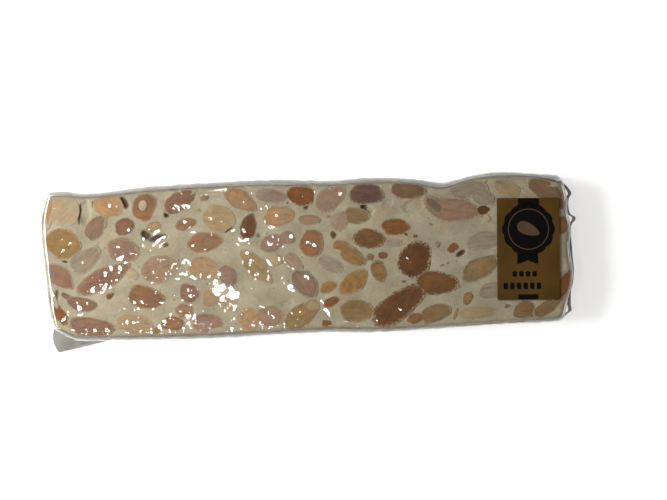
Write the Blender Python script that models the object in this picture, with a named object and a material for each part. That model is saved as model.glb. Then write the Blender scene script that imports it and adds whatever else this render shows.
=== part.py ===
"""A nougat bar sealed in clear film, with a paper label stuck on its face.

Two solids: the film pack, filled out to the film's outer skin, and the label.
Metres, +Z up. The origin is the middle of the flat underside that the pack lies on.
+X runs along the bar to the end that carries the label, +Y across it.
"""

import math

import bmesh
import bpy
from mathutils import Matrix, Vector

MM = 0.001

# Driving dimensions, in millimetres.
PACK_LENGTH = 203.0
PACK_WIDTH = 60.0
PACK_HEIGHT = 18.5
# How far the film's rounded rim reaches in from each end, from each side, and up or down.
RIM = Vector((6.0, 3.2, PACK_HEIGHT / 2))
CELLS = (62, 20, 6)

# The long edges, as (distance along the bar, distance across it).
BACK_EDGE = (
    (-104, 28.4), (-94, 28.6), (-85, 27.4), (-60, 29.5), (-30, 30.4), (-12, 30.7), (8, 29.6),
    (25, 30.3), (42, 29.2), (52, 27.5), (62, 29.6), (73, 31.0), (90, 29.8), (104, 28.0),
)  # fmt: skip
FRONT_EDGE = (
    (-104, -27.4), (-80, -29.6), (-40, -30.3), (4, -29.2), (25, -29.8), (50, -29.0),
    (75, -28.0), (104, -27.6),
)  # fmt: skip
# The two ends, as (distance across the bar, distance along it).
LEFT_END = ((-30, -101.0), (-20, -101.4), (0, -102.8), (12, -103.6), (20, -103.2), (30, -101.2))
RIGHT_END = ((-30, 98.6), (-20, 100.2), (-7, 101.4), (8, 100.8), (20, 100.2), (30, 98.4))

# The label: a sticker on the flat seat near the right end, turned a little against the bar.
LABEL_SIZE = Vector((24.0, 39.2, 0.2))
LABEL_CENTRE = Vector((84.4, 0.8))
LABEL_TURN = math.radians(-1.2)
LABEL_CORNER = 0.6
LABEL_GAP = 0.3
SEAT_MARGIN = 2.0
SEAT_FADE = 9.0

# Gentle swells of the upper skin: height, wavelength along, wavelength across, phase.
SWELLS = ((0.16, 47.0, 38.0, 0.4), (0.12, 29.0, 23.0, 2.1), (0.08, 17.0, 31.0, 4.0))
SKIN_DROP = 0.38

# The folded corner that stands out at the left end's front side.
FLAP = (
    (-91.0, -21.0), (-98.6, -24.0), (-100.4, -27.6), (-98.7, -34.2), (-96.5, -33.8),
    (-86.0, -31.6), (-78.0, -29.4), (-78.0, -25.0),
)  # fmt: skip
FLAP_HEIGHT = (5.4, 1.6)
FLAP_THICK = 1.0

# The crimped seal round the right end, with the three points that its folds pull out.
SEAL = (
    (88.0, -25.0), (93.0, -27.6), (97.0, -26.6), (99.0, -24.8), (100.8, -23.6), (100.6, -21.0),
    (100.9, -16.0), (101.9, -12.0), (102.3, -7.0), (101.8, 0.0), (101.6, 8.0), (102.2, 10.2),
    (103.6, 11.4), (103.4, 12.8), (101.6, 13.6), (100.9, 17.0), (101.2, 20.0), (102.2, 21.8),
    (101.0, 24.0), (98.6, 26.6), (95.4, 28.4), (88.0, 27.0),
)  # fmt: skip
SEAL_HEIGHT = 9.0
SEAL_THICK = 0.9


def along(stations, place):
    """Reads a smooth curve through the stations, as a Catmull-Rom spline does, at a place."""
    places = [station[0] for station in stations]
    values = [station[1] for station in stations]
    place = min(max(place, places[0]), places[-1])
    last = len(stations) - 1
    i = max(k for k in range(last) if places[k] <= place)
    span = places[i + 1] - places[i]
    t = (place - places[i]) / span
    before, after = max(i - 1, 0), min(i + 2, last)
    slope_in = (values[i + 1] - values[before]) / (places[i + 1] - places[before]) * span
    slope_out = (values[after] - values[i]) / (places[after] - places[i]) * span
    return (
        values[i] * (2 * t**3 - 3 * t**2 + 1)
        + slope_in * (t**3 - 2 * t**2 + t)
        + values[i + 1] * (3 * t**2 - 2 * t**3)
        + slope_out * (t**3 - t**2)
    )


def eased(share):
    """A smooth step from 0 to 1."""
    share = min(max(share, 0.0), 1.0)
    return share * share * (3 - 2 * share)


def off_seat(x, y):
    """0 on the label's flat seat, rising to 1 around it."""
    away_x = abs(x - LABEL_CENTRE.x) - LABEL_SIZE.x / 2 - SEAT_MARGIN
    away_y = abs(y - LABEL_CENTRE.y) - LABEL_SIZE.y / 2 - SEAT_MARGIN
    return eased(max(away_x, away_y) / SEAT_FADE)


def skin_sag(x, y):
    """How far the upper skin lies below the pack's full height. The label's seat doesn't sag."""
    swell = sum(
        height * math.sin(math.tau * x / long + phase) * math.cos(math.tau * y / wide + phase)
        for height, long, wide, phase in SWELLS
    )
    return (SKIN_DROP - swell) * off_seat(x, y)


def rounded(corner_point, half, rim):
    """Moves a point of a box's surface onto the same box with an elliptical rim."""
    core = Vector(
        (math.copysign(min(abs(p), h - r), p) for p, h, r in zip(corner_point, half, rim))
    )
    out = Vector(((p - c) / r for p, c, r in zip(corner_point, core, rim)))
    out.normalize()
    return core + Vector((o * r for o, r in zip(out, rim)))


def warped(point, half):
    """Bends the even box to the pack's own wavy edges and ends, and lets its upper skin sag."""
    share_along = (point.x / half.x + 1) / 2
    share_across = (point.y / half.y + 1) / 2
    left, right = along(LEFT_END, point.y), along(RIGHT_END, point.y)
    x = left + (right - left) * share_along
    front, back = along(FRONT_EDGE, x), along(BACK_EDGE, x)
    y = front + (back - front) * share_across
    share_up = (point.z / half.z + 1) / 2
    height = PACK_HEIGHT - skin_sag(x, y)
    return Vector((x, y, share_up * height))


def finished(name, bm, material):
    """Links a mesh in millimetres as a smooth-shaded object in metres."""
    bm.transform(Matrix.Scale(MM, 4))
    bmesh.ops.recalc_face_normals(bm, faces=bm.faces)
    mesh = bpy.data.meshes.new(name)
    bm.to_mesh(mesh)
    bm.free()
    mesh.materials.append(material)
    mesh.shade_smooth()
    mesh.set_sharp_from_angle(angle=math.radians(35))
    obj = bpy.data.objects.new(name, mesh)
    bpy.context.scene.collection.objects.link(obj)
    return obj


def plain_material(name, colour, roughness, metallic=0.0):
    """A Principled material of one colour."""
    material = bpy.data.materials.new(name)
    material.use_nodes = True
    shader = material.node_tree.nodes["Principled BSDF"]
    shader.inputs["Base Color"].default_value = (*colour, 1.0)
    shader.inputs["Roughness"].default_value = roughness
    shader.inputs["Metallic"].default_value = metallic
    return material


def pillow():
    """The pack's body: a box of even cells, rounded at its rim and warped to the real outline."""
    half = Vector((PACK_LENGTH, PACK_WIDTH, PACK_HEIGHT)) / 2
    bm = bmesh.new()
    bmesh.ops.create_cube(bm, size=2.0)
    for axis, cells in enumerate(CELLS):
        edges = [
            e for e in bm.edges if abs(e.verts[0].co[axis] - e.verts[1].co[axis]) > 1e-6
        ]
        bmesh.ops.subdivide_edges(bm, edges=edges, cuts=cells - 1, use_grid_fill=True)
    for vert in bm.verts:
        box_point = Vector((c * h for c, h in zip(vert.co, half)))
        vert.co = warped(rounded(box_point, half, RIM), half)
    return bm


def film_sheet(outline, thick, height_at):
    """A thin plate of film with this outline, whose middle lies at height_at(x, y)."""
    bm = bmesh.new()
    low = [bm.verts.new((x, y, height_at(x, y) - thick / 2)) for x, y in outline]
    floor = bm.faces.new(low)
    raised = bmesh.ops.extrude_face_region(bm, geom=[floor])
    top = [part for part in raised["geom"] if isinstance(part, bmesh.types.BMVert)]
    bmesh.ops.translate(bm, verts=top, vec=(0, 0, thick))
    bmesh.ops.triangulate(bm, faces=bm.faces)
    return bm


def flap_height(x, y):
    """The folded corner droops from its root towards its tip."""
    root, tip = -25.0, -34.2
    share = eased((root - y) / (root - tip))
    high, low = FLAP_HEIGHT
    return high + (low - high) * share


def seal_height(x, y):
    """The crimped seal wavers a little about its middle height."""
    return SEAL_HEIGHT + 0.5 * math.sin(y / 6.0)


def joined(body, tool):
    """Joins the tool's shape to the body with a Boolean, and keeps the tool out of renders."""
    tool.hide_render = True
    tool.display_type = "WIRE"
    join = body.modifiers.new("with_" + tool.name, "BOOLEAN")
    join.operation = "UNION"
    join.solver = "EXACT"
    join.object = tool


def film_pack():
    """The sealed film with the bar in it, as one solid out to the film's outer skin."""
    film = plain_material("clear_film", (0.43, 0.36, 0.25), 0.15)
    body = finished("film_pack", pillow(), film)
    joined(body, finished("corner_flap", film_sheet(FLAP, FLAP_THICK, flap_height), film))
    joined(body, finished("end_seal", film_sheet(SEAL, SEAL_THICK, seal_height), film))
    return body


def label():
    """The sticker: a thin plate with small round corners, just clear of its seat."""
    bm = bmesh.new()
    bmesh.ops.create_cube(bm, size=1.0)
    bmesh.ops.scale(bm, verts=bm.verts, vec=LABEL_SIZE)
    upright = [e for e in bm.edges if abs(e.verts[0].co.z - e.verts[1].co.z) > 1e-6]
    bmesh.ops.bevel(
        bm, geom=upright, offset=LABEL_CORNER, segments=4, profile=0.5, affect="EDGES", material=-1
    )
    bmesh.ops.rotate(bm, verts=bm.verts, matrix=Matrix.Rotation(LABEL_TURN, 3, "Z"))
    middle = PACK_HEIGHT + LABEL_GAP + LABEL_SIZE.z / 2
    bmesh.ops.translate(bm, verts=bm.verts, vec=(*LABEL_CENTRE, middle))
    gold = plain_material("gold_paper", (0.09, 0.045, 0.008), 0.4, 0.6)
    return finished("label", bm, gold)


def main():
    """Clears the scene and builds the two solids."""
    for old in list(bpy.data.objects):
        bpy.data.objects.remove(old)
    film_pack()
    label()


main()
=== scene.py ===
"""A nougat bar sealed in clear film, with a gold label stuck on its face.

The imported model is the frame. Lengths are worked out in millimetres in its axes and turned to
metres as each mesh is finished: +X runs along the bar to the label's end, +Y across it, +Z up.
"""

import logging
import math
import random
from collections.abc import Callable, Iterable, Sequence
from dataclasses import dataclass, field
from enum import Enum
from functools import cached_property

import bmesh
import bpy
from mathutils import Matrix, Vector, noise


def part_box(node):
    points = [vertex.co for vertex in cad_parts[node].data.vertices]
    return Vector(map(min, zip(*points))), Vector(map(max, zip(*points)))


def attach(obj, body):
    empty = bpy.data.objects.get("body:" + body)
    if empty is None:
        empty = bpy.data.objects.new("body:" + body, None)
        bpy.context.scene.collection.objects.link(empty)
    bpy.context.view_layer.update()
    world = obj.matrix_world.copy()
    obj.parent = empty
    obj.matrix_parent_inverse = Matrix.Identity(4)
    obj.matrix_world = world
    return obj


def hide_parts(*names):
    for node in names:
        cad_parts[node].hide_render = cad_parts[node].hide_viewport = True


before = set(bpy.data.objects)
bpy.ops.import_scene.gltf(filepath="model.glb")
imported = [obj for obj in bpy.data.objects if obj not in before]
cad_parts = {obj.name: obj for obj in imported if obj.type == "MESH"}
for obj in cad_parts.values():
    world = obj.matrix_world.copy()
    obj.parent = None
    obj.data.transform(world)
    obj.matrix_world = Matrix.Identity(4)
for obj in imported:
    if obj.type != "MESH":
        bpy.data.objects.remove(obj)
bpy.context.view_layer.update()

MM = 0.001
TO_MM = 1000.0
BODY = "root"
LOG = logging.getLogger("nougat_bar")

# The sockets of a Mix node that blends colours.
MIX_A, MIX_B, MIX_OUT = 6, 7, 2


def linear(colour: str) -> tuple[float, float, float, float]:
    """Turns an sRGB hex colour to linear values.

    Args:
        colour: Six hex digits after a hash sign.

    Returns:
        Linear red, green, blue and an alpha of 1.
    """
    parts = [int(colour[i : i + 2], 16) / 255 for i in (1, 3, 5)]
    red, green, blue = (p / 12.92 if p <= 0.04045 else ((p + 0.055) / 1.055) ** 2.4 for p in parts)
    return red, green, blue, 1.0


def eased(share: float) -> float:
    """Returns a smooth step from 0 to 1."""
    share = min(max(share, 0.0), 1.0)
    return share * share * (3 - 2 * share)


def add(
    tree: bpy.types.NodeTree,
    kind: str,
    settings: dict[str | int, object] | None = None,
    links: dict[str | int, bpy.types.NodeSocket] | None = None,
) -> bpy.types.Node:
    """Adds a node with its settings and the links into it.

    Args:
        tree: The material's or the world's node tree.
        kind: The node's type, such as ShaderNodeTexNoise.
        settings: Values by the name of a property or of an input, or by an input's number.
        links: Output sockets by the name or number of the input that they feed.

    Returns:
        The new node.
    """
    node = tree.nodes.new(kind)
    for name, value in (settings or {}).items():
        if isinstance(name, str) and name.islower():
            setattr(node, name, value)
        else:
            node.inputs[name].default_value = value
    for name, source in (links or {}).items():
        tree.links.new(source, node.inputs[name])
    return node


def new_material(name: str) -> tuple[bpy.types.Material, bpy.types.NodeTree]:
    """Returns an empty node material and its tree."""
    material = bpy.data.materials.new(name)
    material.use_nodes = True
    material.node_tree.nodes.clear()
    return material, material.node_tree


def finished(
    name: str, bm: bmesh.types.BMesh, material: bpy.types.Material, sharp: float = 50.0
) -> bpy.types.Object:
    """Makes a piece of a mesh in millimetres and lets it ride on the bar.

    Args:
        name: The piece's name.
        bm: The mesh, which is used up.
        material: Its finish.
        sharp: Edges that bend by more than this angle, in degrees, stay sharp.

    Returns:
        The new object, at the origin, with its place in its mesh.
    """
    bm.transform(Matrix.Scale(MM, 4))
    bmesh.ops.recalc_face_normals(bm, faces=bm.faces)
    mesh = bpy.data.meshes.new(name)
    bm.to_mesh(mesh)
    bm.free()
    mesh.materials.append(material)
    mesh.shade_smooth()
    mesh.set_sharp_from_angle(angle=math.radians(sharp))
    obj = bpy.data.objects.new(name, mesh)
    bpy.context.scene.collection.objects.link(obj)
    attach(obj, BODY)
    return obj


# ---------------------------------------------------------------- the shape of slab and film


@dataclass(frozen=True)
class Curve:
    """A smooth line through a few stations, each a place and the value there."""

    stations: tuple[tuple[float, float], ...]
    step: float = 0.5

    def exact(self, place: float) -> float:
        """Reads the line as a Catmull-Rom spline does."""
        places = [station[0] for station in self.stations]
        values = [station[1] for station in self.stations]
        place = min(max(place, places[0]), places[-1])
        last = len(places) - 1
        i = max(k for k in range(last) if places[k] <= place)
        span = places[i + 1] - places[i]
        t = (place - places[i]) / span
        before, after = max(i - 1, 0), min(i + 2, last)
        slope_in = (values[i + 1] - values[before]) / (places[i + 1] - places[before]) * span
        slope_out = (values[after] - values[i]) / (places[after] - places[i]) * span
        return (
            values[i] * (2 * t**3 - 3 * t**2 + 1)
            + slope_in * (t**3 - 2 * t**2 + t)
            + values[i + 1] * (3 * t**2 - 2 * t**3)
            + slope_out * (t**3 - t**2)
        )

    @cached_property
    def samples(self) -> list[float]:
        """The line's values at even steps, for quick reading."""
        first, last = self.stations[0][0], self.stations[-1][0]
        count = math.ceil((last - first) / self.step) + 2
        return [self.exact(first + i * self.step) for i in range(count)]

    def at(self, place: float) -> float:
        """Reads the line quickly, between two samples."""
        first, last = self.stations[0][0], self.stations[-1][0]
        steps = (min(max(place, first), last) - first) / self.step
        i = int(steps)
        share = steps - i
        return self.samples[i] * (1 - share) + self.samples[i + 1] * share


@dataclass(frozen=True)
class Swell:
    """One gentle wave of the upper face."""

    height: float
    along: float
    across: float
    phase: float

    def at(self, x: float, y: float) -> float:
        """Returns the wave's height at a place."""
        run = math.tau * x / self.along + self.phase
        return self.height * math.sin(run) * math.cos(math.tau * y / self.across + self.phase)


@dataclass(frozen=True)
class Seat:
    """The flat place that the label is stuck on."""

    x: float
    y: float
    half_x: float
    half_y: float
    margin: float = 2.0
    fade: float = 9.0

    def away(self, x: float, y: float) -> float:
        """Returns 0 on the seat, rising to 1 around it."""
        away_x = abs(x - self.x) - self.half_x - self.margin
        away_y = abs(y - self.y) - self.half_y - self.margin
        return eased(max(away_x, away_y) / self.fade)


@dataclass(frozen=True)
class Block:
    """A box with a rounded rim, bent to four wavy edges. The slab and the film are such blocks.

    A place in the even box is a box place, and the same place on the real bar is a bar place.
    """

    half: Vector
    rim: Vector
    middle: float
    left: Curve
    right: Curve
    front: Curve
    back: Curve
    swells: tuple[Swell, ...]
    seat: Seat

    def mesh(self, cells: Sequence[int], finer: int) -> bmesh.types.BMesh:
        """Divides a cube into even cells.

        Args:
            cells: How many there are along each axis.
            finer: How many parts each cell edge of the upper face is divided into again.

        Returns:
            The cube, 2 across.
        """
        bm = bmesh.new()
        bmesh.ops.create_cube(bm, size=2.0)
        for axis, count in enumerate(cells):
            edges = [e for e in bm.edges if abs(e.verts[0].co[axis] - e.verts[1].co[axis]) > 0.5]
            bmesh.ops.subdivide_edges(bm, edges=edges, cuts=count - 1, use_grid_fill=True)
        upper = [e for e in bm.edges if min(v.co.z for v in e.verts) > 0.999]
        bmesh.ops.subdivide_edges(bm, edges=upper, cuts=finer - 1, use_grid_fill=True)
        return bm

    def rounded(self, point: Vector) -> Vector:
        """Moves a point of the sharp box's skin to the skin with the rounded rim."""
        core = self.core(point)
        out = Vector((p - c) / r for p, c, r in zip(point, core, self.rim))
        out.normalize()
        return core + Vector(o * r for o, r in zip(out, self.rim))

    def pressed(self, point: Vector, lift: float) -> Vector:
        """Pulls a point that stands out of the box back to its skin.

        Args:
            point: A box place.
            lift: How far above the skin it ends.

        Returns:
            The point itself where it is inside, or else its place on the skin.
        """
        core = self.core(point)
        out = Vector((p - c) / r for p, c, r in zip(point, core, self.rim))
        if out.length <= 1:
            return point.copy()
        out.normalize()
        normal = Vector(o / r for o, r in zip(out, self.rim)).normalized()
        return core + Vector(o * r for o, r in zip(out, self.rim)) + normal * lift

    def core(self, point: Vector) -> Vector:
        """Returns the nearest point of the box without its rim."""
        limits = self.half - self.rim
        return Vector(math.copysign(min(abs(p), limit), p) for p, limit in zip(point, limits))

    def swell(self, x: float, y: float) -> float:
        """Returns how far the upper face stands up at a bar place."""
        return sum(swell.at(x, y) for swell in self.swells) * self.seat.away(x, y)

    def placed(self, point: Vector) -> Vector:
        """Turns a box place to a bar place."""
        left, right = self.left.at(point.y), self.right.at(point.y)
        x = left + (right - left) * (point.x / self.half.x + 1) / 2
        front, back = self.front.at(x), self.back.at(x)
        y = front + (back - front) * (point.y / self.half.y + 1) / 2
        share_up = max(point.z / self.half.z, 0.0)
        return Vector((x, y, self.middle + point.z + self.swell(x, y) * share_up))

    def found(self, x: float, y: float) -> Vector:
        """Turns a bar place on the face to the box place, at the box's upper skin."""
        front, back = self.front.at(x), self.back.at(x)
        box_y = (2 * (y - front) / (back - front) - 1) * self.half.y
        left, right = self.left.at(box_y), self.right.at(box_y)
        return Vector(((2 * (x - left) / (right - left) - 1) * self.half.x, box_y, self.half.z))


LABEL_LOW, LABEL_HIGH = (corner * TO_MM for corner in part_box("label"))
LABEL_SIZE = Vector((24.0, 39.2, 0.16))
LABEL_TURN = math.radians(-1.2)
LABEL_MIDDLE = (LABEL_LOW + LABEL_HIGH) / 2

SEAT = Seat(LABEL_MIDDLE.x, LABEL_MIDDLE.y, LABEL_SIZE.x / 2, LABEL_SIZE.y / 2)
SWELLS = (Swell(0.16, 47, 38, 0.4), Swell(0.12, 29, 23, 2.1), Swell(0.08, 17, 31, 4.0))

FILM = Block(
    half=Vector((101.5, 30.0, 9.05)),
    rim=Vector((2.4, 2.7, 5.0)),
    middle=9.05,
    left=Curve((
        (-30, -99.4), (-24, -100.6), (-20, -101.2), (0, -102.8), (12, -103.4), (20, -103.0),
        (30, -100.6),
    )),
    right=Curve((
        (-30, 97.4), (-20, 99.7), (-12, 101.6), (-6, 101.3), (0, 100.7), (9, 101.2), (15, 100.3),
        (22, 100.0), (30, 98.0),
    )),
    front=Curve((
        (-104, -21.5), (-100, -24.4), (-96, -27.0), (-91, -29.3), (-80, -29.8), (-40, -30.3), (4, -29.2),
        (25, -29.8), (50, -29.0), (75, -28.0), (92, -27.8), (104, -27.0),
    )),
    back=Curve((
        (-104, 28.4), (-94, 28.6), (-85, 27.4), (-60, 29.5), (-30, 30.4), (-12, 30.7), (8, 29.6), (25, 30.3),
        (42, 29.2), (52, 27.5), (62, 29.6), (73, 31.0), (90, 29.8), (104, 28.0),
    )),
    swells=SWELLS,
    seat=SEAT,
)  # fmt: skip

SLAB = Block(
    half=Vector((101.0, 28.2, 8.6)),
    rim=Vector((1.7, 1.6, 1.5)),
    middle=9.0,
    left=Curve((
        (-30, -98.3), (-24, -99.6), (-20, -100.2), (0, -101.8), (12, -102.4), (20, -102.0),
        (30, -99.6),
    )),
    right=Curve((
        (-30, 96.2), (-22, 98.2), (-17, 99.8), (-12, 100.7), (-7, 100.3), (-2, 99.6), (4, 99.7), (9, 100.3),
        (13, 99.4), (18, 98.9), (22, 98.8), (30, 96.6),
    )),
    front=Curve((
        (-104, -20.6), (-99, -23.4), (-94, -26.4), (-89, -28.3), (-70, -28.7), (-40, -28.6), (0, -27.9),
        (12, -27.6), (27, -28.4), (50, -28.2), (75, -27.2), (92, -26.6), (98, -25.4), (104, -24.0),
    )),
    back=Curve((
        (-104, 25.8), (-94, 26.6), (-85, 25.7), (-60, 27.5), (-30, 28.3), (-12, 28.4), (8, 27.7), (28, 28.3),
        (42, 27.2), (52, 25.4), (62, 27.9), (73, 29.2), (88, 28.4), (98, 26.4), (104, 25.2),
    )),
    swells=SWELLS,
    seat=SEAT,
)  # fmt: skip


# ---------------------------------------------------------------- almonds


class Roast(Enum):
    """The colour of an almond's cut face, from barely to darkly roasted."""

    VEILED = "#9A8A74"
    PINK_GREY = "#766656"
    MAUVE = "#7F6458"
    SAND = "#9C8463"
    OLIVE = "#8A7450"
    TAN = "#92714F"
    TAN_PINK = "#816450"
    GOLD = "#80633A"
    ROSE = "#735543"
    RED_TAN = "#7D573A"
    RUST = "#774B26"
    AMBER = "#6E4320"
    BROWN = "#684828"
    RED_BROWN = "#5A3A20"
    PLUM = "#5A4239"
    UMBER = "#4E3418"
    HAZEL = "#775E3C"
    CHESTNUT = "#6E4E34"
    CREAM = "#AFA286"


class Cut(Enum):
    """How the saw went through an almond, which gives its outline."""

    POINTED = "lengthwise, with one pointed end"
    OVAL = "slantwise, with both ends round"
    BLUNT = "lengthwise, with one end broken off square"
    HALF = "a split half, with one straight side"
    CHIP = "a broken chip"


@dataclass(frozen=True)
class Almond:
    """One almond that shows in a face.

    The place is its middle, in millimetres along and across the bar. The turn is in degrees
    from +X. A veil of 1 hides it under nougat.
    """

    x: float
    y: float
    long: float
    wide: float
    turn: float
    roast: Roast
    cut: Cut = Cut.OVAL
    veil: float = 0.06
    rise: float = 0.0
    ragged: float = 0.0


P, O, B, H, C = Cut.POINTED, Cut.OVAL, Cut.BLUNT, Cut.HALF, Cut.CHIP
R = Roast

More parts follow.
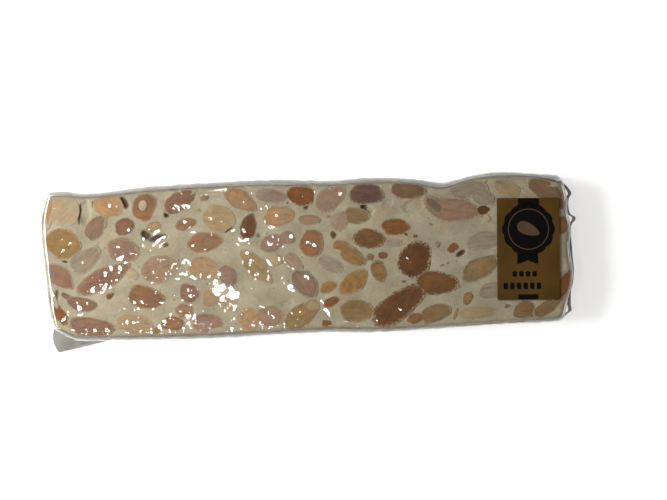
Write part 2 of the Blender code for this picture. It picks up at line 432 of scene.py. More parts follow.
# What shows in the upper face, from the left end to the label and round it.
FACE_ALMONDS = (
    Almond(-99.7, 20, 4, 11, 0, R.TAN, O), Almond(-94, 21, 12, 12.5, 60, R.SAND, O, 0.35),
    Almond(-94.3, 8, 14, 11.5, 10, R.GOLD, O), Almond(-96.2, -4.5, 11, 9.5, -35, R.ROSE, P),
    Almond(-86, 1.5, 14, 7.5, 40, R.PINK_GREY, O, 0.3), Almond(-79.5, -6, 23, 8.5, 24, R.ROSE, P),
    Almond(-82, 14, 10, 6.5, 60, R.ROSE, O, 0.2), Almond(-79.3, 16, 7, 4.5, 75, R.OLIVE, O, 0.3),
    Almond(-70.5, 14, 7.5, 6.5, 10, R.ROSE, O), Almond(-76.5, 22.5, 12, 8, -30, R.TAN, O),
    Almond(-62.8, 21.5, 8.5, 11, 10, R.RED_TAN, O),
    Almond(-63.3, 22, 3, 4, 15, R.CREAM, O, 0.8, 0.12),
    Almond(-71.5, 5, 12.5, 9, -25, R.TAN_PINK, O),
    Almond(-57.5, -2.5, 15, 10, 20, R.TAN_PINK, O, 0.25),
    Almond(-63, -13.5, 14, 8.5, -15, R.RED_TAN, O, 0.05),
    Almond(-88, -15.5, 11.5, 5.5, -5, R.ROSE, O), Almond(-94, -12, 3.5, 2.5, 10, R.ROSE, C),
    Almond(-96.5, -19, 6, 7, 20, R.AMBER, O), Almond(-84.5, -24.3, 17.5, 7.5, -3, R.ROSE, O, 0.1),
    Almond(-68, -24, 14, 8, -5, R.OLIVE, O, 0.3), Almond(-77, -12.5, 3, 2, 30, R.BROWN, C),
    Almond(-75, -17, 8, 5, 10, R.VEILED, O, 0.45), Almond(-59.5, 13.5, 6, 4, 10, R.OLIVE, O, 0.2),
    Almond(-94, 1.2, 1.8, 1, 10, R.UMBER, C), Almond(-49, 23.5, 13, 7.5, 32, R.ROSE, O),
    Almond(-39.5, 24.2, 3, 2.5, 0, R.PINK_GREY, C),
    Almond(-34.5, 16, 12.5, 9.5, -10, R.OLIVE, O, 0.2), Almond(-26, 23, 14, 7, -32, R.TAN, P, 0.1),
    Almond(-47, 14.3, 8, 4.5, 15, R.RED_TAN, O, 0.2),
    Almond(-40, 7, 13, 7.5, 5, R.RED_TAN, O, 0.15), Almond(-23, 12.5, 10, 6, 75, R.RED_BROWN, O),
    Almond(-40.5, -3, 12, 9, -20, R.TAN, P, 0.25),
    Almond(-20.5, -3, 15, 7.5, -50, R.OLIVE, P, 0.15), Almond(-31.5, -6, 7, 8, 10, R.MAUVE, O, 0.2),
    Almond(-46.5, -12.5, 7, 7.5, 0, R.ROSE, O, 0.1),
    Almond(-48.5, -19, 6.5, 5.5, 0, R.RED_TAN, O, 0.25), Almond(-53, -24, 9, 6, 10, R.RED_TAN, O),
    Almond(-40, -24, 11.5, 7.5, -5, R.MAUVE, O, 0.1), Almond(-59.5, -26.5, 3, 2.5, 0, R.GOLD, C),
    Almond(-24, -23, 8, 8.5, 30, R.TAN, O, 0.2), Almond(-55, 6.5, 2.2, 1.4, 10, R.BROWN, C),
    Almond(-42, 19.5, 1.6, 1, -20, R.TAN, C), Almond(-31.5, -16.5, 7, 6, 20, R.SAND, O, 0.45),
    Almond(-38, -14, 6.5, 8, -30, R.TAN, O, 0.3), Almond(-68, -4.5, 5, 3.5, -20, R.SAND, C, 0.4),
    Almond(-66.5, 5.5, 3, 2, 0, R.TAN, C, 0.4), Almond(-16, -22, 8, 10.5, 80, R.TAN_PINK, O, 0.25),
    Almond(-14, 24.2, 12, 5, -8, R.MAUVE, O, 0.25), Almond(-2, 24, 11.5, 7, -6, R.AMBER, B, 0.0),
    Almond(9, 22.8, 13, 8, 38, R.TAN_PINK, O, 0.15),
    Almond(22.7, 24, 13, 8.5, -5, R.PLUM, O, 0.0, 0.0, 0.4),
    Almond(-11, 16.3, 11.5, 7.5, 5, R.TAN, O, 0.15),
    Almond(0.5, 14.5, 8.5, 4, -3, R.TAN_PINK, O, 0.25),
    Almond(18.5, 15.5, 10, 6, -5, R.HAZEL, O, 0.1), Almond(12, 13.8, 8, 6, 40, R.TAN_PINK, O, 0.45),
    Almond(1.2, 5.5, 10.5, 8.8, 75, R.RED_TAN, O),
    Almond(0.9, 5.5, 7.2, 5.8, 75, R.ROSE, O, 0.05, 0.04),
    Almond(23.2, 6.6, 12, 7.3, -8, R.BROWN, O, 0.0, 0.0, 0.8),
    Almond(-14, 6, 9, 6.5, 20, R.MAUVE, O, 0.2), Almond(-8, 8, 5, 5.5, 70, R.MAUVE, O, 0.15),
    Almond(12.6, 3.2, 7.5, 5.5, -25, R.GOLD, H), Almond(16.8, -0.2, 9.5, 6.3, -30, R.GOLD, O),
    Almond(-12.5, -0.5, 5, 4, 0, R.SAND, C, 0.3), Almond(-6, -1.5, 8, 5, -45, R.TAN_PINK, O, 0.4),
    Almond(8, -3, 10, 5.5, -25, R.PINK_GREY, O, 0.5), Almond(17, -9.8, 13.5, 7, 38, R.GOLD, P, 0.0),
    Almond(7, -11.5, 6.5, 4, 20, R.GOLD, O), Almond(-1.8, -10, 11.5, 7.8, -55, R.ROSE, O, 0.2),
    Almond(8, -17.3, 6, 3.6, 22, R.AMBER, O), Almond(17.5, -21, 12.5, 8.5, -5, R.HAZEL, O, 0.05),
    Almond(-4, -22.5, 14.5, 8.5, 35, R.GOLD, O, 0.15),
    Almond(0.5, -18.5, 5.5, 5, 20, R.OLIVE, O, 0.35), Almond(6, -25.6, 4, 2.5, -10, R.AMBER, C),
    Almond(9.5, 8.5, 2, 2.8, 10, R.UMBER, C), Almond(23.5, -0.5, 2.8, 2.6, 0, R.BROWN, C, 0.3),
    Almond(28.2, 0, 3.5, 2.4, 10, R.BROWN, C), Almond(26.5, -6, 5.5, 7.5, 10, R.HAZEL, O, 0.05),
    Almond(26, -3.2, 4, 2.6, 20, R.UMBER, C, 0.1, 0.05),
    Almond(32.5, 4.6, 7, 3.2, 3, R.PINK_GREY, O, 0.55),
    Almond(39, 25, 13.5, 6.5, 6, R.CHESTNUT, O, 0.1),
    Almond(33.7, 10.7, 10.5, 6, 5, R.RUST, O, 0.0),
    Almond(40.5, -2, 15, 11.8, 60, R.RED_BROWN, O, 0.0, 0.0, 0.8),
    Almond(49, -11.3, 16, 9.2, -3, R.BROWN, O, 0.0, 0.0, 0.8),
    Almond(33.8, -19.3, 22, 10.5, 38, R.RED_BROWN, O, 0.0, 0.0, 1.0),
    Almond(48, -22.8, 11.5, 7, 12, R.HAZEL, O, 0.05),
    Almond(40.3, -24.6, 6.5, 4.2, 12, R.CHESTNUT, O),
    Almond(55.5, 16.5, 23, 9, -20, R.TAN_PINK, P, 0.15),
    Almond(48.8, 18.6, 7, 4, -38, R.ROSE, O, 0.1, 0.03),
    Almond(62.5, 24.6, 14, 7, -8, R.PINK_GREY, O, 0.4),
    Almond(67.5, 21.5, 9, 6, -30, R.PINK_GREY, O, 0.45, 0.03),
    Almond(67.4, 16.3, 4.5, 3.2, 0, R.UMBER, O, 0.0, 0.06),
    Almond(69, 13.2, 2.5, 3, 0, R.SAND, C, 0.2, 0.05),
    Almond(67, 4.5, 13, 7, 0, R.PINK_GREY, O, 0.5), Almond(55.3, 2, 4, 3.3, 0, R.AMBER, C),
    Almond(49.5, 3.5, 2, 2.5, 30, R.MAUVE, C), Almond(65.5, -6, 15, 7.5, 25, R.HAZEL, O, 0.12),
    Almond(70, -14.5, 10, 6, 8, R.PINK_GREY, O, 0.35), Almond(60.5, -17.5, 3.8, 4.6, 0, R.HAZEL, O),
    Almond(64, -23, 14.5, 4.4, -3, R.OLIVE, O, 0.3), Almond(55.5, -23.5, 1.5, 4, -15, R.OLIVE, C),
    Almond(77, 24.3, 9.5, 6, -20, R.OLIVE, O, 0.2),
    Almond(92, 23.5, 13.5, 8, -12, R.CHESTNUT, O, 0.1), Almond(97.5, 18, 3.5, 5, 20, R.BROWN, C),
    Almond(98.5, 9.8, 8, 4.5, 65, R.AMBER), Almond(98.6, -13, 13.5, 7, 62, R.AMBER, P, 0.0),
    Almond(82, -22.6, 8, 7.5, 0, R.HAZEL, O, 0.05),
    Almond(91.5, -21.3, 12, 5.5, 35, R.HAZEL, O, 0.05), Almond(51, -4.5, 1.6, 0.9, 20, R.OLIVE, C),
    Almond(57, -13, 1.6, 1.1, 20, R.OLIVE, C), Almond(47, 11.5, 1.6, 0.9, 0, R.TAN, C),
    Almond(36, -10.3, 1.5, 1, 0, R.PINK_GREY, C), Almond(41, 7, 1.6, 1, 0, R.BROWN, C),
    Almond(37.6, 7.8, 1.5, 1, -30, R.UMBER, C), Almond(7.8, 15.6, 1.6, 1.2, 20, R.TAN, C),
    Almond(75.5, -21, 2, 1.4, 0, R.PINK_GREY, C), Almond(53, -3.8, 1.3, 0.8, 30, R.OLIVE, C),
)  # fmt: skip


# How far a pit reaches past its own ellipse, and how wide its sloping wall is, in half widths.
PIT_REACH, PIT_WALL = 1.12, 0.45


@dataclass(frozen=True)
class Hole:
    """A place that the nougat didn't fill: a pit, with shade painted into it."""

    x: float
    y: float
    long: float
    wide: float
    turn: float
    depth: float
    # How strongly shade is painted into the pit, from 0 to 1.
    dark: float = 1.0

    def share(self, x: float, y: float) -> float:
        """Returns how deep a bar place lies in the pit, from 0 outside to 1 at its bottom."""
        turn = math.radians(self.turn)
        run, side = x - self.x, y - self.y
        u = (run * math.cos(turn) + side * math.sin(turn)) / (self.long / 2)
        v = (side * math.cos(turn) - run * math.sin(turn)) / (self.wide / 2)
        return eased((PIT_REACH - math.hypot(u, v)) / PIT_WALL)


# A seventh number, where given, is how strongly shade is painted into that pit; the others take it in full.
HOLES = (
    Hole(-62.3, 10.5, 4.5, 3.2, -40, 1.56), Hole(-57.8, 9.2, 7.5, 2.6, 12, 1.44),
    Hole(-54.2, 18, 2.2, 2.2, 20, 1.2), Hole(-70.3, 23.2, 5.5, 2.6, -62, 1.32),
    Hole(-82, 23.2, 3.2, 1.5, 80, 0.72, 0.6), Hole(-85.6, 20, 10, 4.2, 84, 0.72, 0.1),
    Hole(-87.6, 19.5, 9, 1.1, 84, 1.08, 0.75), Hole(-97.3, -11.5, 4, 1.6, 80, 0.84, 0.6),
    Hole(-30.3, 12.2, 4.6, 1.3, 42, 1.32), Hole(-0.4, 19.3, 2, 1.7, 0, 0.84, 0.8),
    Hole(21.8, 18.7, 3, 2.2, -15, 1.32), Hole(24, 17.2, 3, 2, 0, 0.48, 0.3),
    Hole(-19, 9, 2, 1.4, 10, 0.6, 0.5), Hole(41, 18.5, 9, 6, 15, 0.54, 0.05),
    Hole(52.5, 23.8, 6, 1.3, 2, 1.2, 0.9), Hole(58.6, -0.1, 4.2, 1.9, 30, 1.2),
    Hole(85.5, -25, 2, 1.2, 0, 0.48, 0.6), Hole(-99.3, -20.8, 3, 1.6, -35, 0.6, 0.7),
    Hole(6.8, -25.2, 2, 1.2, 20, 0.6, 0.8), Hole(-7.5, 21.3, 1.2, 0.8, 20, 0.36, 0.7),
    Hole(22.6, -1.2, 1.8, 1.2, 50, 0.48, 0.6), Hole(67, 27.5, 6, 2, -10, 0.36, 0.1),
    Hole(-3, -4, 3, 1.5, 30, 0.36, 0.1), Hole(31, 20, 5, 3, 30, 0.3, 0.05),
    Hole(-9, -17.5, 5, 3, 10, 0.3, 0.05),
)  # fmt: skip


@dataclass(frozen=True)
class Face:
    """One side of the slab: where it is in the box and which ways run along and across it."""

    normal: Vector
    along: Vector
    across: Vector

    def point(self, block: Block, u: float, v: float) -> Vector:
        """Returns the box place on the face, u along it and v across it from its middle."""
        reach = sum(abs(n) * h for n, h in zip(self.normal, block.half))
        return self.normal * reach + self.along * u + self.across * v


UPPER = Face(Vector((0, 0, 1)), Vector((1, 0, 0)), Vector((0, 1, 0)))
UNDER = Face(Vector((0, 0, -1)), Vector((1, 0, 0)), Vector((0, -1, 0)))
NEAR = Face(Vector((0, -1, 0)), Vector((1, 0, 0)), Vector((0, 0, 1)))
FAR = Face(Vector((0, 1, 0)), Vector((-1, 0, 0)), Vector((0, 0, 1)))
LABEL_END = Face(Vector((1, 0, 0)), Vector((0, 1, 0)), Vector((0, 0, 1)))
FOLD_END = Face(Vector((-1, 0, 0)), Vector((0, -1, 0)), Vector((0, 0, 1)))


@dataclass
class AlmondBed:
    """Almonds set in one face of the slab, cut off level with it.

    Each is a closed almond. What would stand out of the slab is pressed back to its skin, where
    it makes the flat cut section. Three attributes carry what the finish needs: the section's
    own axes in millimetres, its colour, and its edge. The edge's channels are how near a point is
    to it, how veiled the almond is, how dark its rim is, and how frayed.
    """

    name: str
    block: Block
    lift: float = 0.1
    layers: int = 7
    layer_step: float = 0.015
    dome: float = 0.1
    belly: float = 0.42
    smallest_fine: float = 5.0
    # What the finish reads on an almond's buried side, where only nougat may show.
    buried: float = 1.3
    least_fray: float = 0.5
    # How far a pointed almond narrows to its tip, and any almond a little to one end.
    tip_taper: float = 0.42
    tip_power: float = 1.6
    end_taper: float = 0.12
    # Where a broken end and a split side are, as shares of half the length and half the width.
    broken_at: float = 0.72
    broken_wide: float = 1.08
    split_at: float = -0.35
    # How uneven an outline is, as shares of its size: whole almonds, chips, and ragged edges.
    uneven: float = 0.085
    uneven_chip: float = 0.22
    fine_uneven: float = 0.02
    ragged_uneven: float = 0.05
    # The bulges' and the small waves' heights, and how often they come round the outline.
    bulge: float = 1.6
    bulge_pitch: float = 1.3
    wave: float = 0.35
    wave_pitch: float = 3.1
    fine_pitch: float = 9.0
    # The noise pulls outlines in as well as out, so each is drawn this much larger.
    full_size: float = 1.08

    def build(
        self, sets: Iterable[tuple[Face, Vector, Almond]], finish: "RoastedAlmond"
    ) -> bpy.types.Object:
        """Makes the piece.

        Args:
            sets: For each almond its face, its middle as a box place, and itself.
            finish: The finish of the cut sections.

        Returns:
            The piece, all its almonds joined.
        """
        bm = bmesh.new()
        place = bm.verts.layers.float_vector.new(finish.place)
        tone = bm.verts.layers.float_color.new(finish.tone)
        edge = bm.verts.layers.float_color.new(finish.edge)
        for number, (face, middle, almond) in enumerate(sets):
            rng = random.Random(f"{self.name} {number}")
            colour = self.shade(almond, rng)
            rim = rng.uniform(-0.5, 1.0)
            fray = self.least_fray + (1 - self.least_fray) * almond.ragged
            shift = Vector((rng.uniform(-90, 90), rng.uniform(-90, 90), rng.uniform(-90, 90)))
            lift = self.lift + self.layer_step * (number % self.layers) + almond.rise
            fine = max(almond.long, almond.wide) > self.smallest_fine
            made = bmesh.ops.create_icosphere(bm, subdivisions=4 if fine else 3, radius=1.0)
            turn = math.radians(almond.turn)
            ahead = face.along * math.cos(turn) + face.across * math.sin(turn)
            aside = face.across * math.cos(turn) - face.along * math.sin(turn)
            depth = self.belly * min(almond.long, almond.wide)
            for vert in made["verts"]:
                unit = vert.co.copy()
                u, v = self.section(unit, almond, shift)
                spot = middle + ahead * u + aside * v + face.normal * (unit.z * depth)
                away = min(unit.x**2 + unit.y**2, 1.0)
                vert.co = self.block.placed(self.block.pressed(spot, lift + self.dome * (1 - away)))
                vert[place] = Vector((u, v, 0.0)) + shift
                vert[tone] = colour
                vert[edge] = (math.sqrt(away) if unit.z > 0 else self.buried, almond.veil, rim, fray)
        return finished(self.name, bm, finish.material(), sharp=70)

    @staticmethod
    def shade(almond: Almond, rng: random.Random) -> tuple[float, float, float, float]:
        """Returns the almond's linear colour, a little lighter or darker than its roast's."""
        red, green, blue, alpha = linear(almond.roast.value)
        light = rng.uniform(0.92, 1.1)
        warm = rng.uniform(0.96, 1.04)
        return red * light * warm, green * light, blue * light / warm, alpha

    def section(self, unit: Vector, almond: Almond, shift: Vector) -> tuple[float, float]:
        """Shapes the round section to the almond's own outline.

        Args:
            unit: A point of the unit ball.
            almond: The almond, with its cut.
            shift: A vector of its own, which makes its outline its own.

        Returns:
            The point's place along and across the almond.
        """
        u, v = unit.x, unit.y
        if almond.cut is Cut.POINTED:
            v *= 1 - self.tip_taper * max(u, 0.0) ** self.tip_power
            v *= 1 - self.end_taper * max(-u, 0.0)
        elif almond.cut is Cut.BLUNT:
            u = min(u, self.broken_at)
            v *= self.broken_wide
        elif almond.cut is Cut.HALF:
            v = max(v, self.split_at)
        else:
            v *= 1 - self.end_taper * u
        rough = self.uneven_chip if almond.cut is Cut.CHIP else self.uneven
        way = Vector((unit.x, unit.y, 0.0)) * self.bulge_pitch + shift
        swing = 1 + rough * noise.noise(way) * self.bulge
        swing += self.wave * rough * noise.noise(way * self.wave_pitch)
        ragged = self.fine_uneven + almond.ragged * self.ragged_uneven
        swing += ragged * noise.noise(way * self.fine_pitch)
        swing *= self.full_size
        return u * swing * almond.long / 2, v * swing * almond.wide / 2


@dataclass
class Scatter:
    """Lays almonds by chance, side by side, in the faces that nobody laid out by hand."""

    block: Block
    seed: int
    roasts: tuple[Roast, ...] = (
        R.GOLD, R.TAN, R.ROSE, R.RED_TAN, R.SAND, R.OLIVE, R.TAN_PINK, R.BROWN, R.RED_BROWN, R.MAUVE, R.AMBER,
    )  # fmt: skip
    tries: int = 2600
    # How much smaller the last almond tried is than the first.
    shrink: float = 0.72
    spacing: float = 0.93
    longest_chip: float = 5.0
    most_veiled: float = 0.35

    def fill(
        self, face: Face, reach: tuple[float, float], longest: float, margin: float
    ) -> list[tuple[Face, Vector, Almond]]:
        """Fills a face.

        Args:
            face: The side of the slab.
            reach: Half its length and half its width.
            longest: The longest almond that fits it.
            margin: How near its edge an almond's middle may lie.

        Returns:
            For each almond its face, its middle as a box place, and itself.
        """
        rng = random.Random(self.seed)
        sets, laid = [], []
        for number in range(self.tries):
            left = 1 - self.shrink * number / self.tries
            long = longest * left * rng.uniform(0.8, 1.0)
            wide = long * rng.uniform(0.5, 0.85)
            u = rng.uniform(margin - reach[0], reach[0] - margin)
            v = rng.uniform(margin - reach[1], reach[1] - margin)
            turn = rng.uniform(-90, 90)
            if any(self.touch((u, v, long, wide, turn), other) for other in laid):
                continue
            laid.append((u, v, long, wide, turn))
            whole = long > self.longest_chip
            cut = rng.choice((Cut.OVAL, Cut.OVAL, Cut.POINTED, Cut.HALF)) if whole else Cut.CHIP
            roast, veil = rng.choice(self.roasts), rng.uniform(0.0, self.most_veiled)
            almond = Almond(u, v, long, wide, turn, roast, cut, veil)
            sets.append((face, face.point(self.block, u, v), almond))
        return sets

    def touch(self, one: tuple[float, ...], other: tuple[float, ...]) -> bool:
        """Tells whether two sections would lie on each other."""
        run, side = other[0] - one[0], other[1] - one[1]
        gap = math.hypot(run, side)
        way = math.atan2(side, run)
        return gap < self.spacing * (self.radius(one, way) + self.radius(other, way))

    @staticmethod
    def radius(section: tuple[float, ...], way: float) -> float:
        """Returns how far a section reaches from its middle in one direction."""
        _, _, long, wide, turn = section
        angle = way - math.radians(turn)
        return 0.5 * long * wide / math.hypot(wide * math.cos(angle), long * math.sin(angle))


# ---------------------------------------------------------------- nougat


@dataclass
class NougatSlab:
    """The hard cream nougat that the almonds are set in."""

    block: Block = field(default_factory=lambda: SLAB)
    cells: tuple[int, int, int] = (150, 42, 13)
    finer: int = 3
    lumps: tuple[tuple[float, float], ...] = ((0.10, 6.5), (0.05, 2.2))

    def build(self, finish: "CreamNougat") -> bpy.types.Object:
        """Makes the slab with its pits, the shade painted into them, and its slightly lumpy skin."""
        bm = self.block.mesh(self.cells, self.finer)
        pit_shade = bm.verts.layers.float.new(finish.pit_shade)
        for vert in bm.verts:
            point = self.block.rounded(Vector(c * h for c, h in zip(vert.co, self.block.half)))
            spot = self.block.placed(point)
            for height, size in self.lumps:
                spot.z -= height * abs(noise.noise(spot / size))
            if point.z > 0:
                depth, dark = self.pit(spot.x, spot.y)
                spot.z -= depth
                vert[pit_shade] = dark
            vert.co = spot
        return finished("nougat_slab", bm, finish.material())

    @staticmethod
    def pit(x: float, y: float) -> tuple[float, float]:
        """Returns the depth of the pits at a bar place, and how much shade is painted there."""
        depth, dark = 0.0, 0.0
        for hole in HOLES:
            if abs(x - hole.x) < hole.long and abs(y - hole.y) < hole.long:
                share = hole.share(x, y)
                depth = max(depth, hole.depth * share)
                dark = max(dark, hole.dark * share)
        return depth, dark


# ---------------------------------------------------------------- film


@dataclass(frozen=True)
class Crease:
    """A narrow ridge in the film."""

    x: float
    y: float
    long: float
    turn: float
    height: float = 0.07
    wide: float = 0.94

    def at(self, x: float, y: float) -> float:
        """Returns the ridge's height at a bar place."""
        turn = math.radians(self.turn)
        run, side = x - self.x, y - self.y
        u = (run * math.cos(turn) + side * math.sin(turn)) / (self.long / 2)
        if abs(u) >= 1:
            return 0.0
        v = (side * math.cos(turn) - run * math.sin(turn)) / self.wide
        return self.height * math.exp(-v * v) * (1 - u * u) ** 2


CREASES = (
    Crease(-14.6, 13.4, 8, -58, 0.1), Crease(-11.2, 7.4, 9, -60, 0.11),
    Crease(-7.6, -1, 9, -50, 0.11), Crease(-4.6, -2.4, 6, -48, 0.06),
    Crease(-7.8, -10.5, 9, -62, 0.1), Crease(-10.1, -8, 8, -85, 0.07),
    Crease(-21, -4.2, 13, -48, 0.08), Crease(-18.6, -4.8, 12, -54, 0.1),
    Crease(-22.5, -10.5, 6, -48, 0.07), Crease(-43.5, 11.8, 8, 30, 0.08, 0.75),
    Crease(-45.2, 13.2, 7, 30, 0.07, 0.75), Crease(-48, 3.4, 5.5, -8, 0.06),
    Crease(-36, 11.2, 5, -8, 0.06), Crease(-25.6, 8.4, 4.5, -50, 0.06),
    Crease(-33, 3.4, 5, -40, 0.06, 0.75), Crease(-30.6, 1.8, 4.5, -35, 0.05, 0.75),
    Crease(-29.2, 12.6, 5, 45, 0.07, 0.75), Crease(-15.2, -22, 12, 88, 0.08),
    Crease(-13.4, -24, 9, 95, 0.07), Crease(-18.5, -21, 9, 100, 0.07),
    Crease(-41, -12, 11, -40, 0.05, 2), Crease(-35.5, -14.5, 10, -25, 0.05, 1.88),
    Crease(-28.3, -13.6, 8, 60, 0.05, 1.75), Crease(-35, -18.4, 9, 12, 0.06),
    Crease(-52.5, -24, 6, -30, 0.06), Crease(-51.5, -21.5, 6, -25, 0.06),
    Crease(-39.5, -23.5, 7, -55, 0.06, 1.25), Crease(-30.5, -22.8, 6, 40, 0.06),
    Crease(-25.3, -19.3, 5, 55, 0.05), Crease(-55, -19.3, 5, 35, 0.05),
    Crease(-4.5, 20.3, 7, 12, 0.05), Crease(-16, 20, 7, 5, 0.06), Crease(-19.5, 21.5, 5, -25, 0.05),
    Crease(-94, -26.3, 13, -28, 0.15, 1.12), Crease(18, -26.4, 20, -3, 0.08, 0.88),
    Crease(22, -27.4, 22, -2, 0.08, 0.75), Crease(-7.6, 26.4, 4, 30, 0.08),
    Crease(62, -25.7, 26, 1, 0.05, 1), Crease(-61, 11.3, 4, -35, 0.07),
    Crease(-99, -11.2, 4, 80, 0.1), Crease(64, 22.5, 16, -32, 0.07, 1.12),
    Crease(95, 0, 30, 86, 0.06, 1.25), Crease(58, 21, 9, -38, 0.06, 1),
    Crease(40, 19, 9, 20, -0.1, 2.75),
)  # fmt: skip


@dataclass
class FilmRelief:
    """How the tight film stands up over the almonds, and its creases and ripples."""

    cell: float = 8.0
    tallest_dome: float = 0.13
    # The least share of a dome's height that tight film keeps, and that chance leaves it.
    tight_dome: float = 0.3
    least_dome: float = 0.35
    full_dome_wide: float = 8.0
    dome_seed: int = 11
    dome_reach: float = 1.25
    ripples: tuple[tuple[float, float], ...] = ((0.05, 9.0), (0.02, 4.2))
    slack_middle: tuple[float, float] = (-34.0, -8.0)
    slack_reach: float = 36.0
    slack_least: float = 0.35
    slack_gain: float = 1.3
    fully_pebbled: float = 0.07
    least_pebbled: float = 0.25
    calm_middle: tuple[float, float] = (-36.0, -12.5)
    calm_reach: tuple[float, float] = (11.0, 5.0)
    calm: float = 0.8
    rim_from: float = 24.0
    rim_fade: float = 3.0
    rim_pebbled: float = 0.6
    near: dict[tuple[int, int], list[Callable[[float, float], float]]] = field(default_factory=dict)

    def gather(self, almonds: Sequence[Almond]) -> None:
        """Sorts the domes and creases into cells, so that each place reads only those near it."""
        rng = random.Random(self.dome_seed)
        for almond in almonds:
            loose = self.tight_dome + (1 - self.tight_dome) * self.slack(almond.x, almond.y)
            size = min(almond.wide / self.full_dome_wide, 1.0)
            height = self.tallest_dome * loose * size * rng.uniform(self.least_dome, 1.0)
            self.keep(self.dome(almond, height), almond.x, almond.y, almond.long * 0.7)
        for crease in CREASES:
            self.keep(crease.at, crease.x, crease.y, crease.long * 0.6)

    def keep(self, rise: Callable[[float, float], float], x: float, y: float, reach: float) -> None:
        """Keeps one rise in every cell that it reaches."""
        for i in range(math.floor((x - reach) / self.cell), math.floor((x + reach) / self.cell) + 1):
            for j in range(math.floor((y - reach) / self.cell), math.floor((y + reach) / self.cell) + 1):
                self.near.setdefault((i, j), []).append(rise)

    def dome(self, almond: Almond, height: float) -> Callable[[float, float], float]:
        """Returns the low dome that the film makes over an almond."""
        turn = math.radians(almond.turn)
        cos, sin = math.cos(turn), math.sin(turn)
        long, wide = almond.long / 2 * self.dome_reach, almond.wide / 2 * self.dome_reach

        def rise(x: float, y: float) -> float:
            """Returns the dome's height at a bar place."""
            run, side = x - almond.x, y - almond.y
            u, v = (run * cos + side * sin) / long, (side * cos - run * sin) / wide
            return height * max(1 - u * u - v * v, 0.0) ** 1.5

        return rise

    def slack(self, x: float, y: float) -> float:
        """Returns how loose the film is at a bar place, from 0 to 1."""
        away = math.hypot(x - self.slack_middle[0], (y - self.slack_middle[1]) * 1.2)
        return math.exp(-((away / self.slack_reach) ** 2))

    def stand(self, x: float, y: float) -> float:
        """Returns how far the domes and creases stand up at a bar place."""
        cell = (math.floor(x / self.cell), math.floor(y / self.cell))
        return sum(rise(x, y) for rise in self.near.get(cell, ())) * self.lively(x, y)

    def lively(self, x: float, y: float) -> float:
        """Returns 1, or less where the film is stretched flat."""
        run, side = ((p - m) / r for p, m, r in zip((x, y), self.calm_middle, self.calm_reach))
        return 1 - self.calm * math.exp(-run * run - side * side)

    def pebbled(self, x: float, y: float) -> float:
        """Returns how pebbly the film is at a bar place, from 0 to 1."""
        on_almonds = eased(self.stand(x, y) / self.fully_pebbled)
        at_rim = eased((abs(y) - self.rim_from) / self.rim_fade)
        share = min(self.least_pebbled + on_almonds + self.rim_pebbled * at_rim, 1.0)
        return share * SEAT.away(x, y) * self.lively(x, y)

    def at(self, x: float, y: float) -> float:
        """Returns how far the film stands up at a bar place."""
        height = self.stand(x, y)
        spot = Vector((x, y, 0.0))
        gain = self.slack_least + self.slack_gain * self.slack(x, y)
        for number, (rise, size) in enumerate(self.ripples):
            shift = Vector((7.3, 2.9, 5.1)) * number
            height += gain * rise * noise.noise(spot / size + shift)
        return height * SEAT.away(x, y)


